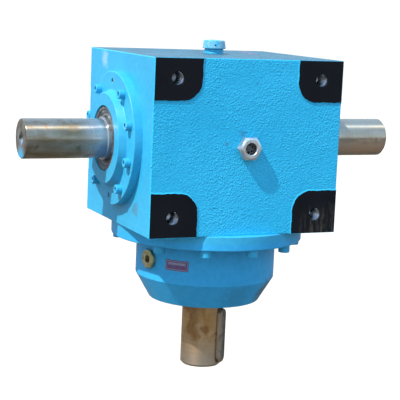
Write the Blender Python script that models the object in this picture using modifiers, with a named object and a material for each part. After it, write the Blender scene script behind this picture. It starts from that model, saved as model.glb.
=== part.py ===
"""Right-angle spiral bevel gearbox, one object for each physical piece.

A cubic housing carries a through cross shaft along X and a pinion shaft that leaves
downwards along -Z.  The shaft axes cross at the centre of the housing.  The origin is the
centre of the four-hole pad pattern on the front face, so the crossing lies behind it on +Y.

Lengths are written in millimetres and turned into metres where a mesh is made.  A turned
piece is drawn as (radius, distance) points, where distance is measured from the crossing,
outwards along the piece's own axis.
"""
import math

import bmesh
import bpy
from mathutils import Matrix, Vector

MM = 0.001
GAP = 0.3                    # clearance left between two touching pieces
SHARP_ANGLE = math.radians(32)

# Housing
HALF_WIDTH = 140.0           # crossing to the left and right faces
HALF_DEPTH = 127.0           # crossing to the pad faces, front and back
HALF_HEIGHT = 120.0
WALL = 18.0
PAD_STEP = 1.0               # the cast field lies this far below the pads
PAD_INSET = 0.4              # pads stop this far short of the housing's edges
PAD_INNER_X = 71.0
PAD_INNER_Z = 62.0
PAD_CORNER = 28.0
PAD_HOLE_X = 107.0
PAD_HOLE_Z = 93.0
PAD_HOLE_RADIUS = 8.75       # tapping size of M20
PAD_HOLE_DEPTH = 28.0
PAD_BOSS_X = 88.0
PAD_BOSS_Z = 74.0
PAD_BOSS_DEPTH = 14.0
BEARING_BOSS_RADIUS = 76.0
BEARING_BOSS_END = 99.5
FOOT_RADIUS = 137.5          # round foot under the housing, and the carrier flange
FOOT_TOP = 119.5             # it runs a little way into the housing
FOOT_BOTTOM = 130.0

# Shafts
SHAFT_END = 280.0
SHAFT_RADIUS = 27.5
JOURNAL_RADIUS = 30.0
JOURNAL_END = 165.0
PINION_END = 333.0
PINION_RADIUS = 30.0

# Seats of the crown wheel and the bearings
WHEEL_SEAT = 35.0            # radius of the wheel's seat on the cross shaft
WHEEL_FRONT = 42.5
WHEEL_BACK = 98.5
CROSS_CONE_BACK = 99.95      # wide faces of the bearing cones
UPPER_CONE_BACK = 104.3
LOWER_CONE_BACK = 212.1

# Bearing covers and the pinion carrier
COVER_RADIUS = 93.0
COVER_FACE = 152.0
HUB_FACE = 163.0
COVER_BOLT_CIRCLE = 80.0
COVER_SCREW_ANGLES = (-162, -126, -54, -18, 18, 54, 126, 162)
COVER_JACKING_ANGLES = (-90, 90)
CARRIER_FACE = 140.0
CARRIER_BODY_RADIUS = 100.5
CARRIER_TAPER_START = 197.0
CARRIER_END = 232.0
CARRIER_BORE = 98.0
CARRIER_BOLT_CIRCLE = 127.0
CARRIER_FIRST_ANGLE = -6
CARRIER_JACKING_ANGLES = (-6, 174)
DRAIN_DISTANCE = 168.0
DRAIN_ANGLE = 165.0
SPOT_FACE = 99.4             # flat under the drain plug, from the pinion axis

# Outer radii of the oil seals, and of the threaded stems of the fittings
SEAL_90 = 45.0
SEAL_110 = 55.0
SIGHT_STEM = 13.0
BREATHER_STEM = 8.3
DRAIN_STEM = 10.2

# Bevel gears: equal wheels, straight pitch cones of 45 degrees
TEETH = 20
MODULE = 7.0
PRESSURE_ANGLE = math.radians(20)
SPIRAL_ANGLE = math.radians(30)
CONE_ANGLE = math.radians(45)
FACE_WIDTH = 30.0
ADDENDUM = 1.0
DEDENDUM = 1.2
BACKLASH = 0.9
TOOTH_STEPS = 2              # straight runs that make up the spiral of a tooth space
PITCH_RADIUS = MODULE * TEETH / 2
CONE_DISTANCE = PITCH_RADIUS / math.sin(CONE_ANGLE)

# Numbers of sides
COVER_SIDES = 32
CARRIER_SIDES = 40
SHAFT_SIDES = 24
BEARING_SIDES = 16
GEAR_SIDES = TEETH
SCREW_HOLE_SIDES = 6
SCREW_SIDES = 10

PARTS = "right_angle_bevel_gearbox"
CUTTERS = "cutters"

COLOURS = {
    "blue_paint": ((0.02, 0.27, 0.62), 0.0, 0.45),
    "shaft_steel": ((0.42, 0.38, 0.34), 1.0, 0.35),
    "gear_steel": ((0.45, 0.45, 0.47), 1.0, 0.3),
    "bearing_steel": ((0.62, 0.62, 0.64), 1.0, 0.2),
    "cage_steel": ((0.35, 0.35, 0.36), 1.0, 0.4),
    "seal_rubber": ((0.02, 0.02, 0.02), 0.0, 0.55),
    "zinc": ((0.7, 0.72, 0.75), 1.0, 0.3),
    "yellow_zinc": ((0.62, 0.5, 0.2), 1.0, 0.35),
    "lens": ((0.1, 0.1, 0.08), 0.0, 0.05),
}


# ---------------------------------------------------------------- helpers

def clear_scene():
    for obj in list(bpy.data.objects):
        bpy.data.objects.remove(obj, do_unlink=True)
    for name in (PARTS, CUTTERS):
        bpy.context.scene.collection.children.link(bpy.data.collections.new(name))


def make_material(name):
    colour, metallic, roughness = COLOURS[name]
    material = bpy.data.materials.new(name)
    material.use_nodes = True
    shader = material.node_tree.nodes["Principled BSDF"]
    shader.inputs["Base Color"].default_value = (*colour, 1.0)
    shader.inputs["Metallic"].default_value = metallic
    shader.inputs["Roughness"].default_value = roughness
    material.diffuse_color = (*colour, 1.0)
    return material


def add_axis(name, location=(0, 0, 0), rotation=(0, 0, 0), parent=None):
    """An empty whose +Z runs outwards along a shaft, a hole or a face normal."""
    empty = bpy.data.objects.new(name, None)
    empty.location = Vector(location) * MM
    empty.rotation_euler = [math.radians(angle) for angle in rotation]
    empty.parent = parent
    bpy.data.collections[PARTS].objects.link(empty)
    return empty


def link(obj, axis, material=None):
    """Put an object on its axis: a part with a material, or a cutter without one."""
    obj.parent = axis
    if material:
        obj.data.materials.clear()
        obj.data.materials.append(bpy.data.materials[material])
        bpy.data.collections[PARTS].objects.link(obj)
    else:
        obj.hide_render = True
        obj.display_type = "WIRE"
        bpy.data.collections[CUTTERS].objects.link(obj)
    return obj


def bake(obj):
    """Turn an object's modifiers into mesh, shaded smooth between its sharp edges."""
    depsgraph = bpy.context.evaluated_depsgraph_get()
    mesh = bpy.data.meshes.new_from_object(obj.evaluated_get(depsgraph), depsgraph=depsgraph)
    mesh.name = obj.name
    obj.modifiers.clear()
    obj.data = mesh
    mesh.shade_smooth()
    mesh.set_sharp_from_angle(angle=SHARP_ANGLE)


def clear(radius, sides):
    """Radius of a bore of so many sides that clears a round piece of this radius."""
    return (radius + GAP) / math.cos(math.pi / sides)


def polar(radius, degrees):
    angle = math.radians(degrees)
    return radius * math.cos(angle), radius * math.sin(angle)


def turned(name, profile, axis, material=None, sides=COVER_SIDES):
    """A solid of revolution: an open profile starts and ends at radius 0, others close."""
    closed = profile[0][0] > 0
    area = sum(a[0] * b[1] - b[0] * a[1] for a, b in zip(profile, profile[1:] + profile[:1]))
    points = list(profile)
    if area > 0:
        points.reverse()
    mesh = bpy.data.meshes.new(name)
    edges = [(i, i + 1) for i in range(len(points) - 1)]
    if closed:
        edges.append((len(points) - 1, 0))
    mesh.from_pydata([(r * MM, 0, z * MM) for r, z in points], edges, [])
    obj = link(bpy.data.objects.new(name, mesh), axis, material)
    screw = obj.modifiers.new("turn", "SCREW")
    screw.steps = sides
    screw.render_steps = sides
    screw.use_merge_vertices = True
    screw.merge_threshold = 0.00001
    return obj


def rod(name, radius, start, end, axis, material=None, sides=COVER_SIDES):
    """A plain cylinder between two distances along its axis."""
    profile = [(0, start), (radius, start), (radius, end), (0, end)]
    return turned(name, profile, axis, material, sides)


def box(name, low, high, axis, material=None):
    """A box between two corners."""
    low, high = Vector(low) * MM, Vector(high) * MM
    mesh = bpy.data.meshes.new(name)
    shape = bmesh.new()
    size = Matrix.Diagonal((*(high - low), 1))
    bmesh.ops.create_cube(shape, size=1, matrix=Matrix.Translation((low + high) / 2) @ size)
    shape.to_mesh(mesh)
    shape.free()
    return link(bpy.data.objects.new(name, mesh), axis, material)


def plate(name, outline, thickness, axis, material=None, location=(0, 0, 0), rotation=(0, 0, 0)):
    """A flat outline in the XY plane, extruded evenly to both sides of that plane."""
    curve = bpy.data.curves.new(name, "CURVE")
    curve.dimensions = "2D"
    curve.fill_mode = "BOTH"
    curve.extrude = thickness * MM / 2
    spline = curve.splines.new("POLY")
    spline.points.add(len(outline) - 1)
    spline.use_cyclic_u = True
    for point, (x, y) in zip(spline.points, outline):
        point.co = (x * MM, y * MM, 0, 1)
    guide = bpy.data.objects.new(name + "_outline", curve)
    bpy.data.collections[CUTTERS].objects.link(guide)
    depsgraph = bpy.context.evaluated_depsgraph_get()
    mesh = bpy.data.meshes.new_from_object(guide.evaluated_get(depsgraph), depsgraph=depsgraph)
    bpy.data.objects.remove(guide, do_unlink=True)
    shape = bmesh.new()
    shape.from_mesh(mesh)
    bmesh.ops.remove_doubles(shape, verts=shape.verts, dist=0.00001)
    bmesh.ops.dissolve_limit(shape, angle_limit=0.001, verts=shape.verts, edges=shape.edges)
    bmesh.ops.recalc_face_normals(shape, faces=shape.faces)
    shape.to_mesh(mesh)
    shape.free()
    obj = link(bpy.data.objects.new(name, mesh), axis, material)
    obj.location = Vector(location) * MM
    obj.rotation_euler = [math.radians(angle) for angle in rotation]
    return obj


def combine(obj, other, operation="DIFFERENCE"):
    """Cut or join with a cutter, which stays out of the model."""
    boolean = obj.modifiers.new(other.name, "BOOLEAN")
    boolean.operation = operation
    boolean.object = other
    boolean.solver = "EXACT"
    weld = obj.modifiers.new("weld", "WELD")
    weld.merge_threshold = 0.00001


def drill(obj, places, radius, start, end, axis, sides=SCREW_HOLE_SIDES):
    """Cut parallel holes, at (x, y) places across an axis, between two distances along it."""
    name = f"{obj.name}_holes_{len(obj.modifiers) // 2}"
    mesh = bpy.data.meshes.new(name)
    shape = bmesh.new()
    for x, y in places:
        middle = Matrix.Translation(Vector((x, y, (start + end) / 2)) * MM)
        bmesh.ops.create_cone(shape, cap_ends=True, segments=sides, radius1=radius * MM,
                              radius2=radius * MM, depth=(end - start) * MM, matrix=middle)
    shape.to_mesh(mesh)
    shape.free()
    combine(obj, link(bpy.data.objects.new(name, mesh), axis))


def arc(centre, radius, start, end, steps):
    """Points of an arc, ends included, in degrees."""
    for step in range(steps + 1):
        x, y = polar(radius, start + (end - start) * step / steps)
        yield centre[0] + x, centre[1] + y


def stadium(length, width, steps=6):
    """Outline of a parallel key with round ends, long along X."""
    reach = (length - width) / 2
    right = list(arc((reach, 0), width / 2, -90, 90, steps))
    left = list(arc((-reach, 0), width / 2, 90, 270, steps))
    return right + left


# ---------------------------------------------------------------- housing

def pad_outline(x_sign, z_sign):
    """One corner pad: square towards the housing's corner, rounded towards its middle."""
    edge_x, edge_z = HALF_WIDTH - PAD_INSET, HALF_HEIGHT - PAD_INSET
    corner = (PAD_INNER_X + PAD_CORNER, PAD_INNER_Z + PAD_CORNER)
    points = [(PAD_INNER_X, edge_z), *arc(corner, PAD_CORNER, 180, 270, 4), (edge_x, PAD_INNER_Z),
              (edge_x, edge_z)]
    return [(x_sign * x, z_sign * z) for x, z in points]


def make_housing(axes):
    centre = axes["centre"]
    size = (HALF_WIDTH, HALF_DEPTH - PAD_STEP, HALF_HEIGHT)
    housing = box("housing", [-s for s in size], size, centre, "blue_paint")
    for face in ("front", "back"):
        for x_sign, z_sign in ((-1, -1), (-1, 1), (1, -1), (1, 1)):
            pad = plate(f"{face}_pad_{x_sign}_{z_sign}", pad_outline(x_sign, z_sign), 2 * PAD_STEP,
                        axes[face], location=(0, 0, HALF_DEPTH - PAD_STEP))
            combine(housing, pad, "UNION")
    foot = rod("foot", FOOT_RADIUS, FOOT_TOP, FOOT_BOTTOM, axes["pinion"], sides=CARRIER_SIDES)
    combine(housing, foot, "UNION")
    inner_x, inner_y, inner_z = HALF_WIDTH - WALL, HALF_DEPTH - WALL, HALF_HEIGHT - WALL
    boss_y = inner_y - PAD_BOSS_DEPTH
    hollows = ((inner_x, boss_y, inner_z), (PAD_BOSS_X, inner_y, inner_z),
               (inner_x, inner_y, PAD_BOSS_Z))
    for number, corner in enumerate(hollows):
        hollow = box(f"hollow_{number}", [-c for c in corner], corner, centre)
        combine(housing, hollow)
    for side in ("left", "right"):
        boss = rod(f"{side}_boss", BEARING_BOSS_RADIUS, BEARING_BOSS_END, inner_x + 4, axes[side],
                   sides=SHAFT_SIDES)
        combine(housing, boss, "UNION")
    for side in ("left", "right"):
        bore = rod(f"{side}_bore", clear(CUP_120.outer, COVER_SIDES), BEARING_BOSS_END - 5,
                   HALF_WIDTH + 5, axes[side])
        combine(housing, bore)
        places = [polar(COVER_BOLT_CIRCLE, angle) for angle in COVER_SCREW_ANGLES]
        drill(housing, places, M8.hole, HALF_WIDTH - 16, HALF_WIDTH + 5, axes[side])
    lower_bore = rod("lower_bore", clear(CARRIER_BORE, CARRIER_SIDES), inner_z - 5,
                     FOOT_BOTTOM + 5, axes["pinion"], sides=CARRIER_SIDES)
    combine(housing, lower_bore)
    drill(housing, carrier_places(), M10.hole, HALF_HEIGHT + 0.6, FOOT_BOTTOM + 5, axes["pinion"])
    pad_places = [(x, z) for x in (-PAD_HOLE_X, PAD_HOLE_X) for z in (-PAD_HOLE_Z, PAD_HOLE_Z)]
    for face in ("front", "back"):
        drill(housing, pad_places, PAD_HOLE_RADIUS, HALF_DEPTH - PAD_HOLE_DEPTH, HALF_DEPTH + 5,
              axes[face], sides=12)
    drill(housing, [(0, 0)], SIGHT_STEM + 0.7, inner_y - 5, HALF_DEPTH + 5, axes["front"], sides=20)
    drill(housing, [(0, 0)], BREATHER_STEM + 0.7, inner_z - 5, HALF_HEIGHT + 5, axes["top"], sides=16)


# ---------------------------------------------------------------- taper roller bearings

class TaperBearing:
    """Sizes of a taper roller bearing; t runs from the cone's wide back face to its nose."""

    def __init__(self, inner, outer, width, cup_width, cone_width):
        self.inner = inner
        self.outer = outer
        self.width = width
        self.cup_width = cup_width
        self.cone_width = cone_width
        self.roller_start = 4.6
        self.roller_end = cone_width - 3.6

    def roller(self, t):
        """Radius of the roller centres and of the rollers themselves at t."""
        middle = self.width / 2 - t
        centre = (self.inner + self.outer) / 2 + middle * math.tan(math.radians(13))
        radius = 0.2 * (self.outer - self.inner) + middle * math.tan(math.radians(1.7))
        return centre, radius


CUP_120 = TaperBearing(inner=32.5, outer=60.0, width=32.75, cup_width=27.0, cone_width=31.0)
CUP_125 = TaperBearing(inner=35.0, outer=62.5, width=33.25, cup_width=27.0, cone_width=31.0)
CUP_110 = TaperBearing(inner=30.0, outer=55.0, width=29.75, cup_width=24.0, cone_width=28.0)
ROLLERS = 12
ROLLER_POINTS = (-68, 0, 68)


def make_cup(name, bearing, back, direction, axis):
    start, end = bearing.width - bearing.cup_width, bearing.width
    profile = [(bearing.outer, start), (bearing.outer, end)]
    for t in (end, start):
        centre, radius = bearing.roller(t)
        profile.append((clear(centre + radius, BEARING_SIDES), t))
    placed = [(r, back + direction * t) for r, t in profile]
    return turned(name, placed, axis, "bearing_steel", BEARING_SIDES)


def make_cone(name, bearing, back, direction, axis):
    bore = clear(bearing.inner, BEARING_SIDES)
    rib = bearing.roller(0)[0] - 1.5
    start, end = bearing.roller_start - 0.4, bearing.roller_end + 0.4
    race = [bearing.roller(t)[0] - bearing.roller(t)[1] - 2 * GAP for t in (start, end)]
    profile = [(bore, 0), (rib, 0), (rib, start), (race[0], start), (race[1], end),
               (race[1] + 1.8, end), (race[1] + 1.8, bearing.cone_width), (bore, bearing.cone_width)]
    placed = [(r, back + direction * t) for r, t in profile]
    return turned(name, placed, axis, "bearing_steel", BEARING_SIDES)


def make_rollers(name, bearing, back, direction, axis):
    """The rollers joined by their cage: a ring that bulges outwards and inwards at each roller."""
    loops = []
    for t, side in ((bearing.roller_start, 1), (bearing.roller_end, 1),
                    (bearing.roller_end, -1), (bearing.roller_start, -1)):
        centre, radius = bearing.roller(t)
        loop = []
        for number in range(ROLLERS):
            turn = Matrix.Rotation(2 * math.pi * number / ROLLERS, 3, "Z")
            for angle in ROLLER_POINTS:
                x, y = polar(radius, angle)
                point = Vector((centre + side * x, y, back + direction * t))
                loop.append(turn @ point * MM)
        loops.append(loop)
    return loft(name, loops, True, axis, "cage_steel")


def loft(name, loops, ring, axis, material=None):
    """Join loops of equally many points; a ring closes on its first loop, others are capped."""
    mesh = bpy.data.meshes.new(name)
    shape = bmesh.new()
    add_loft(shape, loops, ring)
    bmesh.ops.recalc_face_normals(shape, faces=shape.faces)
    shape.to_mesh(mesh)
    shape.free()
    return link(bpy.data.objects.new(name, mesh), axis, material)


def add_loft(shape, loops, ring=False):
    rows = [[shape.verts.new(point) for point in loop] for loop in loops]
    pairs = list(zip(rows, rows[1:]))
    if ring:
        pairs.append((rows[-1], rows[0]))
    count = len(rows[0])
    for row, following in pairs:
        for i in range(count):
            j = (i + 1) % count
            shape.faces.new((row[i], row[j], following[j], following[i]))
    if not ring:
        shape.faces.new(rows[0])
        shape.faces.new(rows[-1])


def make_bearing(prefix, bearing, back, direction, axis):
    make_cup(f"{prefix}_bearing_cup", bearing, back, direction, axis)
    make_cone(f"{prefix}_bearing_cone", bearing, back, direction, axis)
    make_rollers(f"{prefix}_bearing_rollers", bearing, back, direction, axis)


# ---------------------------------------------------------------- gears

def involute(angle):
    return math.tan(angle) - angle


def space_half_angle(height):
    """Half the angle that a tooth space takes about the gear's axis, height in modules.

    The flank is an involute of the back cone's virtual spur gear, and radial below its
    base circle.
    """
    virtual_teeth = TEETH / math.cos(CONE_ANGLE)
    pitch = virtual_teeth / 2
    base = pitch * math.cos(PRESSURE_ANGLE)
    pressure = math.acos(min(1.0, base / (pitch + height)))
    half_tooth = math.pi / (2 * virtual_teeth) + involute(PRESSURE_ANGLE) - involute(pressure)
    half_tooth -= BACKLASH / (4 * MODULE * pitch)
    return (math.pi / virtual_teeth - half_tooth) / math.cos(CONE_ANGLE)


def tooth_space_loops(centre_angle, hand):
    """Sections of one tooth space from toe to heel, on a spiral of constant angle."""
    heights = (-DEDENDUM, -0.1, ADDENDUM + 0.35)
    middle = CONE_DISTANCE - FACE_WIDTH / 2
    start, end = CONE_DISTANCE - FACE_WIDTH - 1.5, CONE_DISTANCE + 1.5
    loops = []
    for step in range(TOOTH_STEPS + 1):
        distance = start + (end - start) * step / TOOTH_STEPS
        twist = hand * math.tan(SPIRAL_ANGLE) / math.sin(CONE_ANGLE) * math.log(distance / middle)
        left, right = [], []
        for height in heights:
            rise = height * MODULE * distance / CONE_DISTANCE
            radius = distance * math.sin(CONE_ANGLE) + rise * math.cos(CONE_ANGLE)
            z = distance * math.cos(CONE_ANGLE) - rise * math.sin(CONE_ANGLE)
            half = space_half_angle(height)
            for points, angle in ((left, -half), (right, half)):
                turn = centre_angle + twist + angle
                point = Vector((radius * math.cos(turn), radius * math.sin(turn), z))
                points.append(point * MM)
        loops.append(left + right[::-1])
    return loops


def cut_teeth(gear, first_angle, hand, axis):
    mesh = bpy.data.meshes.new(gear.name + "_spaces")
    shape = bmesh.new()
    for tooth in range(TEETH):
        add_loft(shape, tooth_space_loops(first_angle + 2 * math.pi * tooth / TEETH, hand))
    bmesh.ops.recalc_face_normals(shape, faces=shape.faces)
    shape.to_mesh(mesh)
    shape.free()
    combine(gear, link(bpy.data.objects.new(mesh.name, mesh), axis))


def cone_point(distance, height):
    """(radius, distance along the axis) of a point a height above the pitch cone."""
    return (distance * math.sin(CONE_ANGLE) + height * math.cos(CONE_ANGLE),
            distance * math.cos(CONE_ANGLE) - height * math.sin(CONE_ANGLE))


def tooth_band(toe_depth, heel_depth):
    """Profile of the toothed band: toe, tips and heel, down to a depth below the pitch cone."""
    toe = CONE_DISTANCE - FACE_WIDTH
    shrink = toe / CONE_DISTANCE
    return [cone_point(toe, -toe_depth), cone_point(toe, ADDENDUM * MODULE * shrink),
            cone_point(CONE_DISTANCE, ADDENDUM * MODULE), cone_point(CONE_DISTANCE, -heel_depth)]


def make_crown_wheel(axes):
    bore = clear(WHEEL_SEAT, GEAR_SIDES)
    band = tooth_band(8.3, 15.4)
    profile = [(bore, WHEEL_FRONT), (band[0][0], WHEEL_FRONT), *band,
               (50, 88), (50, WHEEL_BACK), (bore, WHEEL_BACK)]
    wheel = turned("crown_wheel", profile, axes["left"], "gear_steel", GEAR_SIDES)
    cut_teeth(wheel, math.radians(-90), 1, axes["left"])
    combine(wheel, key_seat("wheel_hub_keyway", WHEEL_KEY, axes["left"], 180, 0.4))


def make_pinion_shaft(axes):
    axis = axes["pinion"]
    band = tooth_band(8.3, 15.4)
    head = [(0, 50), (38, 50), *band, (50, 88), (50, 95), (0, 95)]
    shaft = turned("pinion_shaft", head, axis, "shaft_steel", GEAR_SIDES)
    cut_teeth(shaft, math.radians(180 + 180 / TEETH), -1, axis)
    stem = [(0, 92), (41, 92), (41, 104), (35, 104), (35, 140), (33, 140), (33, 180),
            (PINION_RADIUS, 180), (PINION_RADIUS, PINION_END - 3), (PINION_RADIUS - 3, PINION_END),
            (0, PINION_END)]
    combine(shaft, turned("pinion_stem", stem, axis, sides=SHAFT_SIDES), "UNION")
    combine(shaft, key_seat("pinion_keyway", PINION_KEYWAY, axis, PINION_KEY_ANGLE, 0.3))
    make_key("pinion_shaft_key", PINION_KEY, axis, PINION_KEY_ANGLE)


# ---------------------------------------------------------------- keys

class Key:
    """A parallel key: its span along the shaft, and its width and radial reach."""

    def __init__(self, start, end, width, bottom, top):
        self.start = start
        self.end = end
        self.width = width
        self.bottom = bottom
        self.top = top

    def solid(self, name, axis, angle, grow, material):
        length = self.end - self.start + 2 * grow
        outline = stadium(length, self.width + 2 * grow)
        height = self.top - self.bottom + 2 * grow
        x, y = polar((self.top + self.bottom) / 2, angle)
        middle = (x, y, (self.start + self.end) / 2)
        return plate(name, outline, height, axis, material, middle, (0, 90, angle))


PINION_KEY = Key(247.5, 327.5, width=18, bottom=23.5, top=34.4)
PINION_KEYWAY = Key(243.5, 327.7, width=18, bottom=23.5, top=34.4)
PINION_KEY_ANGLE = 50
SHAFT_KEY = Key(180, 270, width=16, bottom=22.0, top=31.8)
WHEEL_KEY = Key(48, 92, width=20, bottom=28.0, top=39.6)


def key_seat(name, key, axis, angle, grow):
    return key.solid(name, axis, angle, grow, None)


def make_key(name, key, axis, angle):
    return key.solid(name, axis, angle, 0, "gear_steel")


# ---------------------------------------------------------------- cross shaft and covers

def make_cross_shaft(axes):
    """Turned about X with its positive end on the right; the wheel seat is on the left."""
    profile = [(0, -SHAFT_END), (SHAFT_RADIUS - 2, -SHAFT_END), (SHAFT_RADIUS, 2 - SHAFT_END),
               (SHAFT_RADIUS, -JOURNAL_END), (JOURNAL_RADIUS, -JOURNAL_END), (JOURNAL_RADIUS, -134),
               (32.5, -134), (32.5, -99), (WHEEL_SEAT, -99), (WHEEL_SEAT, -42), (40, -42),
               (40, -32), (37, -32), (37, 99.6), (32.5, 99.6), (32.5, 134), (JOURNAL_RADIUS, 134),
               (JOURNAL_RADIUS, JOURNAL_END), (SHAFT_RADIUS, JOURNAL_END),
               (SHAFT_RADIUS, SHAFT_END - 3), (SHAFT_RADIUS - 3, SHAFT_END), (0, SHAFT_END)]
    shaft = turned("cross_shaft", profile, axes["right"], "shaft_steel", SHAFT_SIDES)
    for side, angle in (("left", 180), ("right", 0)):
        combine(shaft, key_seat(f"{side}_shaft_keyway", SHAFT_KEY, axes[side], angle, 0.3))
        make_key(f"{side}_shaft_key", SHAFT_KEY, axes[side], angle)
        centre_hole = [(0, SHAFT_END - 16), (5, SHAFT_END - 16), (5, SHAFT_END - 3),
                       (8.5, SHAFT_END + 0.5), (0, SHAFT_END + 0.5)]
        combine(shaft, turned(f"{side}_centre_hole", centre_hole, axes[side], sides=12))
    combine(shaft, key_seat("wheel_keyway", WHEEL_KEY, axes["left"], 180, 0.3))
    make_key("crown_wheel_key", WHEEL_KEY, axes["left"], 180)


def make_cover(side, axes):
    axis = axes[side]
    seal_bore = clear(SEAL_90, COVER_SIDES)
    profile = [(CUP_120.outer, 133.1), (CUP_120.outer, HALF_WIDTH + GAP),
               (COVER_RADIUS, HALF_WIDTH + GAP), (COVER_RADIUS, COVER_FACE - 1),
               (COVER_RADIUS - 1, COVER_FACE), (66.5, COVER_FACE), (62.5, HUB_FACE),
               (seal_bore, HUB_FACE), (seal_bore, 151), (38, 151), (38, 133.1)]
    cover = turned(f"{side}_bearing_cover", profile, axis, "blue_paint")
    screws = [polar(COVER_BOLT_CIRCLE, angle) for angle in COVER_SCREW_ANGLES]
    jacking = [polar(COVER_BOLT_CIRCLE, angle) for angle in COVER_JACKING_ANGLES]
    drill(cover, screws, M8.hole, HALF_WIDTH - 1, COVER_FACE + 1, axis)
    drill(cover, jacking, 3.6, HALF_WIDTH - 1, COVER_FACE + 1, axis, sides=10)
    seal = [(SEAL_90, 151.3), (SEAL_90, 161), (39, 161), (36, 159.5),
            (clear(JOURNAL_RADIUS, SHAFT_SIDES), 157), (34, 151.3)]
    turned(f"{side}_oil_seal", seal, axis, "seal_rubber", SHAFT_SIDES)


class CapScrew:
    """A socket head cap screw: radii of shank, head and hexagon, and its lengths."""

    def __init__(self, shank, head, height, length, socket):
        self.shank = shank
        self.head = head
        self.height = height
        self.length = length
        self.socket = socket
        self.hole = clear(shank, SCREW_HOLE_SIDES)

    def mesh(self):
        """The head stands on z = 0 and the shank points down."""
        profile = [(0, self.height), (self.head, self.height), (self.head, 0), (self.shank, 0),
                   (self.shank, -self.length), (0, -self.length)]
        screw = turned("screw_pattern", profile, None, sides=SCREW_SIDES)
        socket = rod("screw_socket", self.socket, self.height * 0.45, self.height + 1, None, sides=6)
        combine(screw, socket)
        bake(screw)
        mesh = screw.data
        mesh.materials.append(bpy.data.materials["blue_paint"])
        bpy.data.objects.remove(screw, do_unlink=True)
        bpy.data.objects.remove(socket, do_unlink=True)
        return mesh


M8 = CapScrew(shank=4.0, head=6.5, height=8.0, length=26.0, socket=3.5)
M10 = CapScrew(shank=5.0, head=8.0, height=10.0, length=18.4, socket=4.6)


def place_screws(prefix, mesh, radius, angles, distance, axis):
    for number, angle in enumerate(angles, start=1):
        screw = bpy.data.objects.new(f"{prefix}_screw_{number}", mesh)
        screw.parent = axis
        screw.location = Vector((*polar(radius, angle), distance)) * MM
        bpy.data.collections[PARTS].objects.link(screw)


# ---------------------------------------------------------------- pinion carrier

def carrier_angles():
    return [CARRIER_FIRST_ANGLE + 30 * number for number in range(12)]


def carrier_screw_angles():
    return [angle for angle in carrier_angles() if angle not in CARRIER_JACKING_ANGLES]


def carrier_places():
    return [polar(CARRIER_BOLT_CIRCLE, angle) for angle in carrier_screw_angles()]


def make_carrier(axes):
    axis = axes["pinion"]
    upper, lower = clear(CUP_125.outer, CARRIER_SIDES), clear(CUP_110.outer, CARRIER_SIDES)
    profile = [(CARRIER_BORE, 104), (CARRIER_BORE, FOOT_BOTTOM + GAP),
               (FOOT_RADIUS, FOOT_BOTTOM + GAP), (FOOT_RADIUS, CARRIER_FACE - 1.5),
               (FOOT_RADIUS - 1.5, CARRIER_FACE), (CARRIER_BODY_RADIUS, CARRIER_FACE),
               (CARRIER_BODY_RADIUS, CARRIER_TAPER_START), (80, CARRIER_END), (lower, CARRIER_END),
               (lower, 182), (50, 182), (50, 179), (84, 179), (84, 142), (56, 142), (56, 138),
               (upper, 138), (upper, 104)]
    carrier = turned("pinion_carrier", profile, axis, "blue_paint", CARRIER_SIDES)
    jacking = [polar(CARRIER_BOLT_CIRCLE, angle) for angle in CARRIER_JACKING_ANGLES]
    drill(carrier, carrier_places(), M10.hole, FOOT_BOTTOM - 1, CARRIER_FACE + 1, axis)
    drill(carrier, jacking, 4.3, FOOT_BOTTOM - 1, CARRIER_FACE + 1, axis, sides=10)
    spot_face = rod("drain_spot_face", 15.5, SPOT_FACE, CARRIER_BODY_RADIUS + 5, axes["drain"], sides=24)
    combine(carrier, spot_face)
    drill(carrier, [(0, 0)], DRAIN_STEM + 0.6, 75, CARRIER_BODY_RADIUS + 5, axes["drain"], sides=16)
    seal = [(SEAL_110, 223), (SEAL_110, 231), (42, 231), (36, 229.5),
            (clear(PINION_RADIUS, SHAFT_SIDES), 227), (34, 223)]
    turned("pinion_oil_seal", seal, axis, "seal_rubber", SHAFT_SIDES)
    nut = [(clear(PINION_RADIUS, SHAFT_SIDES), 212.4), (40, 212.4), (40, 222.4),
           (clear(PINION_RADIUS, SHAFT_SIDES), 222.4)]
    locknut = turned("pinion_locknut", nut, axis, "gear_steel", SHAFT_SIDES)
    slots = box("locknut_slots", (-50, -3.5, 211), (50, 3.5, 224), axis)
    bridge = rod("locknut_slot_floor", 36.5, 210, 225, axis, sides=SHAFT_SIDES)
    combine(slots, bridge)
    combine(locknut, slots)


# ---------------------------------------------------------------- fittings

def make_sight_glass(axes):
    """Hexagonal screwed body with flats top and bottom, and its round lens."""
    axis = axes["front"]
    field = HALF_DEPTH - PAD_STEP + GAP
    across_corners = 30 / math.sqrt(3)
    body = rod("sight_glass_body", across_corners, field, field + 8.5, axis, "zinc", sides=6)
    core = [(0, field - 14), (SIGHT_STEM, field - 14), (SIGHT_STEM, field + 1), (14.6, field + 1),
            (14.6, field + 9.2), (12.6, field + 10.7), (0, field + 10.7)]
    combine(body, turned("sight_glass_core", core, axis, sides=20), "UNION")
    window = [(0, field - 15), (10, field - 15), (10, field + 6.5), (8, field + 6.5),
              (8, field + 12), (0, field + 12)]
    combine(body, turned("sight_glass_window", window, axis, sides=20))
    rod("sight_glass_lens", 10 - GAP, field + 1, field + 6.5 - GAP, axis, "lens", sides=20)


def make_breather(axes):
    axis = axes["top"]
    seat = HALF_HEIGHT + GAP
    body = [(0, seat - 14), (BREATHER_STEM, seat - 14), (BREATHER_STEM, seat), (13.6, seat),
            (13.6, seat + 6.8), (9, seat + 6.8), (9, seat + 13), (0, seat + 13)]
    turned("breather_body", body, axis, "blue_paint", sides=20)
    cap = [(0, seat + 7.2), (16.5, seat + 7.2), (16.5, seat + 8.6), (14.8, seat + 19),
           (13.8, seat + 19.7), (0, seat + 19.7)]
    cap = turned("breather_cap", cap, axis, "blue_paint", sides=20)
    combine(cap, rod("breather_cap_hollow", 9.8, seat + 5, seat + 14, axis, sides=20))


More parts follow.
